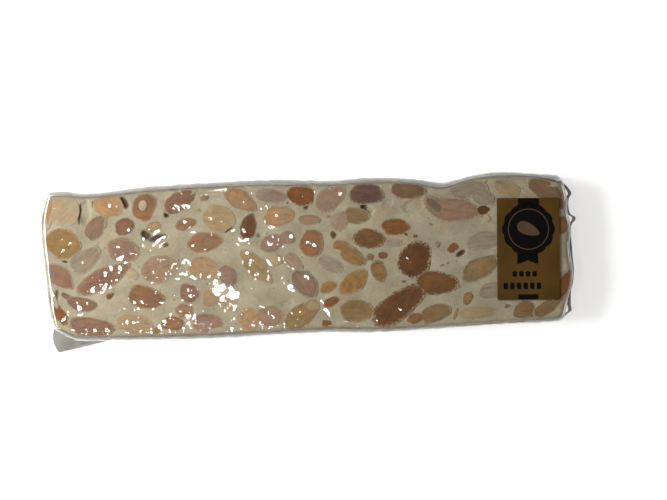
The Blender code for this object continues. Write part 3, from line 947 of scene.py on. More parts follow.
@dataclass
class FilmEnvelope:
    """The clear film: one tight skin round the bar, with a folded corner and a crimped end."""

    block: Block = field(default_factory=lambda: FILM)
    cells: tuple[int, int, int] = (156, 45, 12)
    finer: int = 3
    pleat_depth: float = 0.28
    pleat_spacing: float = 3.4
    pleat_zone: float = 2.2
    pleat_tall: float = 14.0
    gather_sides: float = 2.7
    gather_ends: float = 1.3
    gather_gain: float = 1.5
    clear_wall: float = 0.2
    wall_fade: float = 0.4
    sheet_thick: float = 0.12
    # The folded corner: its root along the pack's cut corner and its free edge, both from the
    # end inwards.
    flap_root: tuple[tuple[float, float], ...] = ((-99.6, -24.2), (-90.0, -28.6), (-78.0, -29.2))
    flap_edge: tuple[tuple[float, float], ...] = ((-98.7, -34.2), (-90.0, -32.4), (-79.0, -29.9))
    flap_heights: tuple[float, float] = (6.4, 1.2)
    flap_bulge: float = 1.3
    # How much lower the root and how much higher the edge is at the flap's inner end.
    flap_root_drop: float = 2.2
    flap_edge_climb: float = 2.4
    # The flap's folds: their height, how they run along and out, and its small dents.
    flap_fold: float = 0.9
    flap_fold_runs: tuple[float, float] = (5.5, 2.1)
    flap_dent: float = 0.35
    flap_dent_size: float = 3.0
    # The crimped end's free edge, as (distance across the bar, distance along it).
    crimp: Curve = Curve((
        (-26.4, 97.6), (-24.8, 99.2), (-23.6, 100.9), (-21, 100.7), (-16, 100.9), (-12, 101.9), (-7, 102.3),
        (0, 101.8), (8, 101.6), (10.2, 102.2), (11.4, 103.4), (12.7, 103.4), (13.8, 101.7), (17, 100.9),
        (20, 101.2), (21.8, 102.2), (24, 101.0), (26.8, 98.4),
    ), 0.2)
    crimp_height: float = 9.0
    crimp_inside: float = 1.4
    # The crimp's even waver and its uneven one: height and size of each.
    crimp_waver: tuple[float, float] = (0.5, 3.1)
    crimp_ruffle: tuple[float, float] = (0.9, 4.0)

    def build(self, finish: "ClearFilm", relief: FilmRelief) -> bpy.types.Object:
        """Makes the envelope as one piece."""
        bm = self.block.mesh(self.cells, self.finer)
        folded_and_shaded = bm.verts.layers.float.new(finish.folded_and_shaded)
        pebbled = bm.verts.layers.float.new(finish.pebbled)
        for vert in bm.verts:
            point = self.block.rounded(Vector(c * h for c, h in zip(vert.co, self.block.half)))
            spot = self.block.placed(point)
            vert[folded_and_shaded] = self.folded_and_shaded(point)
            spot += self.pleats(point, spot)
            if point.z > 0:
                vert[pebbled] = relief.pebbled(spot.x, spot.y)
                spot.z += relief.at(spot.x, spot.y) * eased(point.z / self.block.half.z)
            vert.co = spot
        body = set(bm.verts)
        self.add_flap(bm)
        self.add_crimp(bm)
        # The folded corner and the crimp take the full grey, partly fold haze and partly painted shade.
        for vert in set(bm.verts) - body:
            vert[folded_and_shaded] = 1.0
        film = finished("film_envelope", bm, finish.material(), sharp=80)
        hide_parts("film_pack")
        return film

    def folded_and_shaded(self, point: Vector) -> float:
        """Returns how much the film is folded together, which also sets how much grey shade is painted on it:
        1 on the rim, 0 on the faces and the walls.
        """
        side = (abs(point.y) - self.block.half.y) / self.gather_sides + 1
        end = (abs(point.x) - self.block.half.x) / self.gather_ends + 1
        off_wall = (abs(point.z) - self.block.half.z) / self.block.rim.z + 1
        off_wall = eased((off_wall - self.clear_wall) / self.wall_fade)
        return eased(max(side, end) * self.gather_gain) * off_wall

    def pleats(self, point: Vector, spot: Vector) -> Vector:
        """Returns how the upright folds push the film in or out at its sides and ends."""
        side = eased((abs(point.y) - self.block.half.y + self.pleat_zone) / self.pleat_zone)
        end = eased((abs(point.x) - self.block.half.x + self.pleat_zone) / self.pleat_zone)
        up = spot.z / self.pleat_tall
        run = noise.noise(Vector((spot.x / self.pleat_spacing, up, math.copysign(4.0, point.y))))
        turn = noise.noise(Vector((spot.y / self.pleat_spacing, up, math.copysign(9.0, point.x))))
        return Vector((
            math.copysign(self.pleat_depth * end * turn, point.x * turn),
            math.copysign(self.pleat_depth * side * run, point.y * run),
            0.0,
        ))  # fmt: skip

    def sheet(
        self, bm: bmesh.types.BMesh, cells: tuple[int, int], place: Callable[[float, float], Vector]
    ) -> None:
        """Adds a thin closed sheet of film.

        Args:
            bm: The mesh that it joins.
            cells: How many cells it has each way.
            place: Gives the bar place of a point, from its shares of the sheet's two sides.
        """
        made = bmesh.ops.create_grid(bm, x_segments=cells[0], y_segments=cells[1], size=0.5)
        faces = list({f for v in made["verts"] for f in v.link_faces})
        for vert in made["verts"]:
            vert.co = place(vert.co.x + 0.5, vert.co.y + 0.5)
        bmesh.ops.solidify(bm, geom=faces, thickness=self.sheet_thick)

    def add_flap(self, bm: bmesh.types.BMesh) -> None:
        """Adds the corner of film that is folded out at the end's near side."""
        root_line, edge_line = Curve(self.flap_root, 0.2), Curve(self.flap_edge, 0.2)
        high, low = self.flap_heights
        runs = self.flap_fold_runs

        def place(along: float, out: float) -> Vector:
            """Returns a point of the flap."""
            root_x = self.flap_root[0][0] + along * (self.flap_root[-1][0] - self.flap_root[0][0])
            edge_x = self.flap_edge[0][0] + along * (self.flap_edge[-1][0] - self.flap_edge[0][0])
            root = Vector((root_x, root_line.at(root_x), high - self.flap_root_drop * along))
            edge = Vector((edge_x, edge_line.at(edge_x), low + self.flap_edge_climb * along))
            spot = root.lerp(edge, out)
            spot.x -= self.flap_bulge * math.sin(math.pi * out) * (1 - along) ** 3
            fold = abs(math.sin(runs[0] * along + runs[1] * out)) - 0.5
            spot.z += self.flap_fold * fold * math.sin(math.pi * out)
            spot.z += self.flap_dent * noise.noise(spot / self.flap_dent_size)
            return spot

        self.sheet(bm, (40, 12), place)

    def add_crimp(self, bm: bmesh.types.BMesh) -> None:
        """Adds the crimped seal round the label's end, with the three points its folds pull out."""
        first, last = self.crimp.stations[0][0], self.crimp.stations[-1][0]
        waver, waver_size = self.crimp_waver
        rough, rough_size = self.crimp_ruffle

        def place(along: float, out: float) -> Vector:
            """Returns a point of the seal."""
            y = first + along * (last - first)
            tip = self.crimp.at(y)
            x = tip + (out - 1) * self.crimp_inside
            ruffle = waver * math.sin(y / waver_size)
            ruffle += rough * noise.noise(Vector((y / rough_size, 1.7, 0.0)))
            return Vector((x, y, self.crimp_height + ruffle * out))

        self.sheet(bm, (150, 6), place)


# ---------------------------------------------------------------- label


@dataclass
class Label:
    """The sticker of gold paper, with its print as thin inlays of ink."""

    size: Vector = field(default_factory=lambda: LABEL_SIZE.copy())
    middle: Vector = field(default_factory=lambda: Vector((LABEL_MIDDLE.x, LABEL_MIDDLE.y)))
    turn: float = LABEL_TURN
    corner: float = 0.6
    clear: float = 0.1
    curl: float = 0.06
    ink: float = 0.03
    cut_every: float = 1.6
    seal_middle: Vector = field(default_factory=lambda: Vector((0.1, 7.6)))
    seal_radius: float = 9.6
    lobes: int = 12
    lobe_depth: float = 0.55
    ring_radius: float = 7.9
    ring_wide: float = 0.35
    tail_middle: Vector = field(default_factory=lambda: Vector((-0.3, -4.0)))
    # The ribbon above the seal and the foot bar: length, width and middle.
    ribbon: tuple[float, float, tuple[float, float]] = (8.0, 3.6, (0.2, 17.6))
    foot: tuple[float, float, tuple[float, float]] = (7.8, 1.9, (-0.2, -18.4))
    # Two rows of plain blocks: place across the label, how many, the first's place, height.
    rows: tuple[tuple[float, int, float, float], ...] = ((-9.6, 4, -5.3, 2.1), (-14.2, 6, -8.8, 2.5))
    row_step: float = 2.55
    block_wide: float = 1.7
    # The ribbon's lower end, whose edge is cut in a notch.
    tail: tuple[tuple[float, float], ...] = (
        (-4.0, 2.4), (4.0, 2.4), (4.0, -2.0), (0.0, -0.4), (-4.0, -2.0),
    )  # fmt: skip

    def build(self, paper: "GoldPaper", black: "Ink", pale: "Ink") -> list[bpy.types.Object]:
        """Makes the sticker, its black print and its pale print."""
        plate = self.plate(self.size.x, self.size.y, Vector((0, 0)), self.size.z, 0.0, self.corner, 24)
        self.lay(plate)
        sticker = finished("label_paper", plate, paper.material(), sharp=40)
        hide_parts("label")
        print_black = finished("label_print", self.black_print(), black.material(), sharp=40)
        print_pale = finished("label_print_lines", self.pale_print(), pale.material(), sharp=40)
        return [sticker, print_black, print_pale]

    def height(self, x: float, y: float) -> float:
        """Returns how far the paper stands off its seat, since it curls a little."""
        run, side = (x / self.size.x) * 2, (y / self.size.y) * 2
        return self.curl * (noise.noise(Vector((run * 1.1, side * 1.4, 3.3))) + 0.6 * abs(side) ** 3)

    def lay(self, bm: bmesh.types.BMesh) -> None:
        """Curls a flat print or paper and moves it from the label's own axes to its seat."""
        top = FILM.middle + FILM.half.z + self.clear
        for vert in bm.verts:
            vert.co.z += top + self.height(vert.co.x, vert.co.y)
        bmesh.ops.rotate(bm, verts=bm.verts, matrix=Matrix.Rotation(self.turn, 3, "Z"))
        bmesh.ops.translate(bm, verts=bm.verts, vec=(*self.middle, 0.0))

    def plate(
        self,
        long: float,
        wide: float,
        middle: Vector,
        thick: float,
        low: float,
        corner: float,
        cells: int = 6,
    ) -> bmesh.types.BMesh:
        """Makes a thin plate with round corners.

        Args:
            long: Its length along the label's X.
            wide: Its width along the label's Y.
            middle: Its middle on the label.
            thick: Its thickness.
            low: The height of its lower side over the label's underside.
            corner: The radius of its corners.
            cells: How many parts each side is divided into.

        Returns:
            The plate's mesh.
        """
        bm = bmesh.new()
        bmesh.ops.create_cube(bm, size=1.0)
        bmesh.ops.scale(bm, verts=bm.verts, vec=(long, wide, thick))
        upright = [e for e in bm.edges if abs(e.verts[0].co.z - e.verts[1].co.z) > thick / 2]
        bmesh.ops.bevel(
            bm, geom=upright, offset=corner, segments=4, profile=0.5, affect="EDGES", material=-1
        )
        for i in range(1, cells):
            for normal, span in ((Vector((1, 0, 0)), long), (Vector((0, 1, 0)), wide)):
                geometry = [*bm.verts, *bm.edges, *bm.faces]
                cut = normal * (span * (i / cells - 0.5))
                bmesh.ops.bisect_plane(bm, geom=geometry, plane_co=cut, plane_no=normal)
        bmesh.ops.translate(bm, verts=bm.verts, vec=(*middle, low + thick / 2))
        return bm

    def disc(self, outline: Callable[[float], Vector], sides: int, low: float) -> bmesh.types.BMesh:
        """Makes a thin inlay of ink with a closed outline.

        Args:
            outline: Gives the outline's point on the label at an angle.
            sides: How many points it is read at.
            low: The height of its lower side over the label's underside.

        Returns:
            The inlay's mesh.
        """
        return self.inlay([outline(math.tau * i / sides) for i in range(sides)], low)

    def inlay(self, corners: Sequence[Vector], low: float) -> bmesh.types.BMesh:
        """Makes a thin inlay of ink from the corners of its outline.

        Args:
            corners: The outline's points on the label, in order.
            low: The height of its lower side over the label's underside.

        Returns:
            The inlay's mesh.
        """
        bm = bmesh.new()
        bm.faces.new([bm.verts.new((corner.x, corner.y, low)) for corner in corners])
        raised = bmesh.ops.extrude_face_region(bm, geom=list(bm.faces))
        top = [part for part in raised["geom"] if isinstance(part, bmesh.types.BMVert)]
        bmesh.ops.translate(bm, verts=top, vec=(0, 0, self.ink))
        return bm

    def scallop(self, angle: float) -> Vector:
        """Returns the scalloped seal's outline at an angle."""
        reach = self.seal_radius + self.lobe_depth * abs(math.cos(self.lobes * angle / 2))
        return self.seal_middle + Vector((math.cos(angle), math.sin(angle))) * reach

    def almond_shape(self, angle: float) -> Vector:
        """Returns the outline of the small almond in the seal's middle."""
        shape = Vector((4.6 * math.cos(angle), 2.3 * math.sin(angle) * (1 - 0.3 * math.cos(angle))))
        shape.rotate(Matrix.Rotation(math.radians(-24), 2))
        return self.seal_middle + shape

    def black_print(self) -> bmesh.types.BMesh:
        """Makes the ribbon, the seal, the foot bar and two rows of plain blocks."""
        low = self.size.z - 0.005
        seal = self.disc(self.scallop, 144, low)
        tail = self.inlay([self.tail_middle + Vector(corner) for corner in self.tail], low)
        ribbon, foot = (
            self.plate(long, wide, Vector(spot), self.ink, low, 0.1)
            for long, wide, spot in (self.ribbon, self.foot)
        )
        pieces = [seal, ribbon, tail, foot]
        for row_y, count, first, height in self.rows:
            for i in range(count):
                spot = Vector((first + i * self.row_step, row_y))
                pieces.append(self.plate(self.block_wide, height, spot, self.ink, low, 0.4, 1))
        return self.merged(pieces)

    def pale_print(self) -> bmesh.types.BMesh:
        """Makes the thin ring in the seal and the small almond in its middle."""
        low = self.size.z + self.ink + 0.01
        ring = bmesh.new()
        bmesh.ops.create_circle(ring, segments=96, radius=self.ring_radius)
        wall = bmesh.ops.extrude_edge_only(ring, edges=ring.edges[:])
        inner = [part for part in wall["geom"] if isinstance(part, bmesh.types.BMVert)]
        share = (self.ring_radius - self.ring_wide) / self.ring_radius
        bmesh.ops.scale(ring, verts=inner, vec=(share, share, 1.0))
        bmesh.ops.solidify(ring, geom=ring.faces[:], thickness=self.ink)
        bmesh.ops.translate(ring, verts=ring.verts, vec=(*self.seal_middle, low))
        return self.merged([ring, self.disc(self.almond_shape, 48, low)])

    def merged(self, pieces: Sequence[bmesh.types.BMesh]) -> bmesh.types.BMesh:
        """Joins several meshes into one and lays it on the label's seat."""
        whole = bmesh.new()
        for bm in pieces:
            mesh = bpy.data.meshes.new("part")
            bm.to_mesh(mesh)
            bm.free()
            whole.from_mesh(mesh)
            bpy.data.meshes.remove(mesh)
        for normal, span in ((Vector((1, 0, 0)), self.size.x), (Vector((0, 1, 0)), self.size.y)):
            for i in range(1, round(span / self.cut_every)):
                cut = normal * (i * self.cut_every - span / 2)
                geometry = [*whole.verts, *whole.edges, *whole.faces]
                bmesh.ops.bisect_plane(whole, geom=geometry, plane_co=cut, plane_no=normal)
        self.lay(whole)
        return whole


# ---------------------------------------------------------------- finishes


def scale_for(size: float) -> float:
    """Returns the scale of a pattern on Object coordinates whose features are this many mm."""
    return TO_MM / size


@dataclass(frozen=True)
class CreamNougat:
    """Hard nougat, boiled, whipped and sawn: matt cream, a little uneven, with pores and crumbs, and shade
    painted into its pits.
    """

    cream: str = "#A1977F"
    shade: str = "#8D846D"
    under: str = "#9C8768"
    crumb: str = "#75583A"
    # The dark brown shade painted into the pits.
    pit: str = "#553C2B"
    pit_shade: str = "pit_shade"
    cloud: float = 9.0
    buried: float = 8.0
    crumb_gap: float = 2.6
    pore: float = 0.9

    def material(self) -> bpy.types.Material:
        """Builds the finish."""
        material, tree = new_material("cream_nougat")
        where = add(tree, "ShaderNodeTexCoord").outputs["Object"]
        pores = add(
            tree, "ShaderNodeTexNoise",
            {"Scale": scale_for(self.pore), "Detail": 3.0},
            {"Vector": where},
        )
        cloud = add(
            tree, "ShaderNodeTexNoise",
            {"Scale": scale_for(self.cloud), "Detail": 4.0},
            {"Vector": where},
        )
        clouds = add(
            tree, "ShaderNodeMapRange",
            {"From Min": 0.35, "From Max": 0.65},
            {"Value": cloud.outputs[0]},
        )
        base = add(
            tree, "ShaderNodeMix",
            {"data_type": "RGBA", MIX_A: linear(self.cream), MIX_B: linear(self.shade)},
            {"Factor": clouds.outputs[0]},
        )
        deep = add(
            tree, "ShaderNodeTexNoise",
            {"Scale": scale_for(self.buried), "Detail": 1.0},
            {"Vector": where},
        )
        buried = add(
            tree, "ShaderNodeMapRange",
            {"interpolation_type": "SMOOTHSTEP", "From Min": 0.54, "From Max": 0.72, "To Max": 0.55},
            {"Value": deep.outputs[0]},
        )
        tinted = add(
            tree, "ShaderNodeMix",
            {"data_type": "RGBA", MIX_B: linear(self.under)},
            {"Factor": buried.outputs[0], MIX_A: base.outputs[MIX_OUT]},
        )
        grit = add(
            tree, "ShaderNodeTexVoronoi", {"Scale": scale_for(self.crumb_gap)}, {"Vector": where}
        )
        chance = add(tree, "ShaderNodeSeparateColor", {}, {"Color": grit.outputs["Color"]})
        grain = add(
            tree, "ShaderNodeMapRange",
            {"From Min": 0.17, "From Max": 0.09},
            {"Value": grit.outputs["Distance"]},
        )
        some = add(
            tree, "ShaderNodeMapRange",
            {"From Min": 0.6, "From Max": 0.75, "To Max": 0.8},
            {"Value": chance.outputs[0]},
        )
        crumbs = add(
            tree, "ShaderNodeMath",
            {"operation": "MULTIPLY"},
            {0: grain.outputs[0], 1: some.outputs[0]},
        )
        crumbed = add(
            tree, "ShaderNodeMix",
            {"data_type": "RGBA", MIX_B: linear(self.crumb)},
            {"Factor": crumbs.outputs[0], MIX_A: tinted.outputs[MIX_OUT]},
        )
        # Paints the pits' shade, darkest at their bottoms.
        depth = add(tree, "ShaderNodeAttribute", {"attribute_name": self.pit_shade})
        coloured = add(
            tree, "ShaderNodeMix",
            {"data_type": "RGBA", MIX_B: linear(self.pit)},
            {"Factor": depth.outputs["Fac"], MIX_A: crumbed.outputs[MIX_OUT]},
        )
        flecks = add(
            tree, "ShaderNodeMapRange",
            {"From Min": 0.3, "From Max": 0.7, "To Min": 0.9, "To Max": 1.08},
            {"Value": pores.outputs[0]},
        )
        flecked = add(
            tree, "ShaderNodeMix",
            {"data_type": "RGBA", "blend_type": "MULTIPLY", "Factor": 1.0},
            {MIX_A: coloured.outputs[MIX_OUT], MIX_B: flecks.outputs[0]},
        )
        bump = add(
            tree, "ShaderNodeBump",
            {"Strength": 0.5, "Distance": 0.08 * MM},
            {"Height": pores.outputs[0]},
        )
        rough = add(
            tree, "ShaderNodeMapRange",
            {"To Min": 0.42, "To Max": 0.68},
            {"Value": pores.outputs[0]},
        )
        shader = add(
            tree,
            "ShaderNodeBsdfPrincipled",
            {
                "Subsurface Weight": 0.12,
                "Subsurface Scale": 1.5 * MM,
                "IOR": 1.48,
                "Specular IOR Level": 0.25,
            },
            {
                "Base Color": flecked.outputs[MIX_OUT],
                "Roughness": rough.outputs[0],
                "Normal": bump.outputs[0],
            },
        )
        shader.inputs["Subsurface Radius"].default_value = (1.0, 0.75, 0.45)
        add(tree, "ShaderNodeOutputMaterial", {}, {"Surface": shader.outputs[0]})
        return material


@dataclass(frozen=True)
class RoastedAlmond:
    """The sawn face of a roasted almond: matt tan to red-brown, streaked, with a browner rim."""

    cream: str = "#968C75"
    place: str = "section"
    tone: str = "roast"
    edge: str = "rim"
    streak_wide: float = 0.7
    streak_long: float = 5.0
    mottle: float = 2.4
    drift: float = 5.5
    fray: float = 0.55
    # How much lighter and darker the fine grain makes the colour.
    grain: float = 0.3
    # What the slow drift multiplies the colour by.
    warmer: tuple[float, float, float, float] = (1.08, 0.97, 0.84, 1.0)
    greyer: tuple[float, float, float, float] = (0.93, 1.0, 1.08, 1.0)

    def material(self) -> bpy.types.Material:
        """Builds the finish."""
        material, tree = new_material("roasted_almond")
        place = add(tree, "ShaderNodeAttribute", {"attribute_name": self.place}).outputs["Vector"]
        tone = add(tree, "ShaderNodeAttribute", {"attribute_name": self.tone}).outputs["Color"]
        edges = add(tree, "ShaderNodeAttribute", {"attribute_name": self.edge})
        parts = add(tree, "ShaderNodeSeparateColor", {}, {"Color": edges.outputs["Color"]})
        away, veil, rim = parts.outputs[0], parts.outputs[1], parts.outputs[2]
        stretched = add(
            tree, "ShaderNodeVectorMath",
            {"operation": "MULTIPLY", 1: (1 / self.streak_long, 1 / self.streak_wide, 1.0)},
            {0: place},
        )
        streaks = add(
            tree, "ShaderNodeTexNoise",
            {"Scale": 1.0, "Detail": 3.0, "Distortion": 0.6},
            {"Vector": stretched.outputs[0]},
        )
        mottle = add(
            tree, "ShaderNodeTexNoise", {"Scale": 1 / self.mottle, "Detail": 4.0}, {"Vector": place}
        )
        streak_gain = add(
            tree, "ShaderNodeMapRange",
            {"From Min": 0.3, "From Max": 0.7, "To Min": -0.12, "To Max": 0.12},
            {"Value": streaks.outputs[0]},
        )
        mottle_gain = add(
            tree, "ShaderNodeMapRange",
            {"From Min": 0.3, "From Max": 0.7, "To Min": 0.82, "To Max": 1.18},
            {"Value": mottle.outputs[0]},
        )
        drift = add(
            tree, "ShaderNodeTexNoise", {"Scale": 1 / self.drift, "Detail": 1.0}, {"Vector": place}
        )
        drifts = add(
            tree, "ShaderNodeMapRange",
            {"From Min": 0.36, "From Max": 0.64},
            {"Value": drift.outputs[0]},
        )
        tint = add(
            tree, "ShaderNodeMix",
            {"data_type": "RGBA", MIX_A: self.warmer, MIX_B: self.greyer},
            {"Factor": drifts.outputs[0]},
        )
        tinted = add(
            tree, "ShaderNodeMix",
            {"data_type": "RGBA", "blend_type": "MULTIPLY", "Factor": 1.0},
            {MIX_A: tone, MIX_B: tint.outputs[MIX_OUT]},
        )
        wander = add(
            tree, "ShaderNodeMapRange",
            {"From Min": 0.2, "From Max": 0.8, "To Min": -0.14, "To Max": 0.14},
            {"Value": mottle.outputs[0]},
        )
        edge_at = add(tree, "ShaderNodeMath", {"operation": "ADD"}, {0: away, 1: wander.outputs[0]})
        rim_mask = add(
            tree, "ShaderNodeMapRange",
            {"interpolation_type": "SMOOTHSTEP", "From Min": 0.55, "From Max": 1.0, "To Max": -0.26},
            {"Value": edge_at.outputs[0]},
        )
        rim_gain = add(
            tree, "ShaderNodeMath", {"operation": "MULTIPLY"}, {0: rim_mask.outputs[0], 1: rim}
        )
        fray = add(
            tree, "ShaderNodeTexNoise", {"Scale": 1 / self.fray, "Detail": 2.0}, {"Vector": place}
        )
        grained = add(
            tree, "ShaderNodeMath",
            {"operation": "MULTIPLY_ADD", 1: self.grain, 2: -self.grain / 2},
            {0: fray.outputs[0]},
        )
        streaked = add(
            tree, "ShaderNodeMath",
            {"operation": "ADD"},
            {0: grained.outputs[0], 1: streak_gain.outputs[0]},
        )
        gain_one = add(
            tree, "ShaderNodeMath",
            {"operation": "ADD"},
            {0: streaked.outputs[0], 1: mottle_gain.outputs[0]},
        )
        gain = add(
            tree, "ShaderNodeMath",
            {"operation": "ADD"},
            {0: gain_one.outputs[0], 1: rim_gain.outputs[0]},
        )
        toned = add(
            tree, "ShaderNodeMix",
            {"data_type": "RGBA", "blend_type": "MULTIPLY", "Factor": 1.0},
            {MIX_A: tinted.outputs[MIX_OUT], MIX_B: gain.outputs[0]},
        )
        frayed = add(
            tree, "ShaderNodeMapRange",
            {"From Min": 0.25, "From Max": 0.75, "To Min": -0.22, "To Max": 0.22},
            {"Value": fray.outputs[0]},
        )
        ragged = add(
            tree, "ShaderNodeMath",
            {"operation": "MULTIPLY_ADD"},
            {0: frayed.outputs[0], 1: edges.outputs["Alpha"], 2: away},
        )
        smear = add(
            tree, "ShaderNodeMapRange",
            {"interpolation_type": "SMOOTHSTEP", "From Min": 0.84, "From Max": 1.04, "To Max": 0.92},
            {"Value": ragged.outputs[0]},
        )
        patchy = add(
            tree, "ShaderNodeMapRange",
            {"From Min": 0.3, "From Max": 0.7, "To Min": 0.5, "To Max": 1.5},
            {"Value": streaks.outputs[0]},
        )
        veiled = add(
            tree, "ShaderNodeMath", {"operation": "MULTIPLY"}, {0: veil, 1: patchy.outputs[0]}
        )
        cover = add(
            tree, "ShaderNodeMath",
            {"operation": "ADD", "use_clamp": True},
            {0: veiled.outputs[0], 1: smear.outputs[0]},
        )
        coloured = add(
            tree, "ShaderNodeMix",
            {"data_type": "RGBA", MIX_B: linear(self.cream)},
            {"Factor": cover.outputs[0], MIX_A: toned.outputs[MIX_OUT]},
        )
        bump = add(
            tree, "ShaderNodeBump",
            {"Strength": 0.4, "Distance": 0.08 * MM},
            {"Height": streaks.outputs[0]},
        )
        rough = add(
            tree, "ShaderNodeMapRange",
            {"To Min": 0.42, "To Max": 0.7},
            {"Value": mottle.outputs[0]},
        )
        shader = add(
            tree,
            "ShaderNodeBsdfPrincipled",
            {"IOR": 1.46, "Specular IOR Level": 0.12},
            {
                "Base Color": coloured.outputs[MIX_OUT],
                "Roughness": rough.outputs[0],
                "Normal": bump.outputs[0],
            },
        )
        add(tree, "ShaderNodeOutputMaterial", {}, {"Surface": shader.outputs[0]})
        return material


@dataclass(frozen=True)
class ClearFilm:
    """Clear food film, shrunk on: glossy on both its skins, faintly milky, finely pebbled, and grey on its
    folded rim, partly from fold haze and partly painted shade.
    """

    # A grey diffuse: faint real haze on the faces, and on the folded rim, corner and crimp also painted
    # shade.
    milk_and_shade: str = "#86837A"
    folded_and_shaded: str = "folded_and_shaded"
    pebbled: str = "pebbled"
    least_haze: float = 0.002
    most_haze: float = 0.015
    # How much of the grey covers the folded rim, fold haze and painted shade together.
    folded_haze_and_shade: float = 0.75
    mirror: float = 0.065
    pebble: float = 3.2
    grain: float = 1.5
    grain_share: float = 0.25
    pebble_height: float = 0.3
    patch: float = 16.0

    def material(self) -> bpy.types.Material:
        """Builds the finish."""
        material, tree = new_material("clear_film")
        where = add(tree, "ShaderNodeTexCoord").outputs["Object"]
        patch = add(
            tree, "ShaderNodeTexNoise",
            {"Scale": scale_for(self.patch), "Detail": 2.0},
            {"Vector": where},
        )
        cells = add(
            tree, "ShaderNodeTexVoronoi", {"Scale": scale_for(self.pebble)}, {"Vector": where}
        )
        domes = add(
            tree, "ShaderNodeMath", {"operation": "POWER", 1: 2.0}, {0: cells.outputs["Distance"]}
        )
        grain = add(
            tree, "ShaderNodeTexNoise",
            {"Scale": scale_for(self.grain), "Detail": 1.0},
            {"Vector": where},
        )
        pebbles = add(
            tree, "ShaderNodeMath",
            {"operation": "MULTIPLY_ADD", 1: self.grain_share},
            {0: grain.outputs[0], 2: domes.outputs[0]},
        )
        share = add(tree, "ShaderNodeAttribute", {"attribute_name": self.pebbled})
        bump = add(
            tree, "ShaderNodeBump",
            {"Distance": self.pebble_height * MM},
            {"Height": pebbles.outputs[0], "Strength": share.outputs["Fac"]},
        )
        haze = add(
            tree, "ShaderNodeMapRange",
            {"From Min": 0.3, "From Max": 0.7, "To Min": self.least_haze, "To Max": self.most_haze},
            {"Value": patch.outputs[0]},
        )
        # The grey: a little patchy haze everywhere, and much more on the folded rim, where it is partly
        # painted shade.
        folds = add(tree, "ShaderNodeAttribute", {"attribute_name": self.folded_and_shaded})
        milk_and_shade_share = add(
            tree, "ShaderNodeMath",
            {"operation": "MULTIPLY_ADD", "use_clamp": True, 1: self.folded_haze_and_shade},
            {0: folds.outputs["Fac"], 2: haze.outputs[0]},
        )
        # The same from inside and outside, so that light reaches the nougat as it does through thin film.
        slant = add(tree, "ShaderNodeLayerWeight", {"Blend": 0.5}, {"Normal": bump.outputs[0]})
        steep = add(
            tree, "ShaderNodeMath", {"operation": "POWER", 1: 5.0}, {0: slant.outputs["Facing"]}
        )
        both = add(
            tree, "ShaderNodeMath",
            {"operation": "MULTIPLY_ADD", "use_clamp": True, 1: 1 - self.mirror, 2: self.mirror},
            {0: steep.outputs[0]},
        )
        clear = add(tree, "ShaderNodeBsdfTransparent", {"Color": (0.98, 0.98, 0.975, 1.0)})
        milky = add(tree, "ShaderNodeBsdfDiffuse", {"Color": linear(self.milk_and_shade), "Roughness": 0.5})
        gloss = add(
            tree, "ShaderNodeBsdfGlossy",
            {"Color": (1.0, 1.0, 1.0, 1.0), "Roughness": 0.05},
            {"Normal": bump.outputs[0]},
        )
        body = add(
            tree, "ShaderNodeMixShader",
            {},
            {0: milk_and_shade_share.outputs[0], 1: clear.outputs[0], 2: milky.outputs[0]},
        )
        skin = add(
            tree, "ShaderNodeMixShader",
            {},
            {0: both.outputs[0], 1: body.outputs[0], 2: gloss.outputs[0]},
        )
        add(tree, "ShaderNodeOutputMaterial", {}, {"Surface": skin.outputs[0]})
        return material


@dataclass(frozen=True)
class GoldPaper:
    """Gold-coated label paper, calendered: a dark satin bronze gold with a faint grain."""

    gold: str = "#604310"
    shade: str = "#4C350D"
    cloud: float = 16.0
    grain: float = 0.35

    def material(self) -> bpy.types.Material:
        """Builds the finish."""
        material, tree = new_material("gold_paper")
        where = add(tree, "ShaderNodeTexCoord").outputs["Object"]
        cloud = add(
            tree, "ShaderNodeTexNoise",
            {"Scale": scale_for(self.cloud), "Detail": 3.0},
            {"Vector": where},
        )
        clouds = add(
            tree, "ShaderNodeMapRange",
            {"From Min": 0.35, "From Max": 0.65},
            {"Value": cloud.outputs[0]},
        )
        base = add(
            tree, "ShaderNodeMix",
            {"data_type": "RGBA", MIX_A: linear(self.gold), MIX_B: linear(self.shade)},
            {"Factor": clouds.outputs[0]},
        )
        grain = add(
            tree, "ShaderNodeTexNoise",
            {"Scale": scale_for(self.grain), "Detail": 2.0},
            {"Vector": where},
        )
        rough = add(
            tree, "ShaderNodeMapRange", {"To Min": 0.3, "To Max": 0.5}, {"Value": grain.outputs[0]}
        )
        bump = add(
            tree, "ShaderNodeBump",
            {"Strength": 0.25, "Distance": 0.02 * MM},
            {"Height": grain.outputs[0]},
        )
        shader = add(
            tree,
            "ShaderNodeBsdfPrincipled",
            {"Metallic": 0.6},
            {"Base Color": base.outputs[MIX_OUT], "Roughness": rough.outputs[0], "Normal": bump.outputs[0]},
        )
        add(tree, "ShaderNodeOutputMaterial", {}, {"Surface": shader.outputs[0]})
        return material


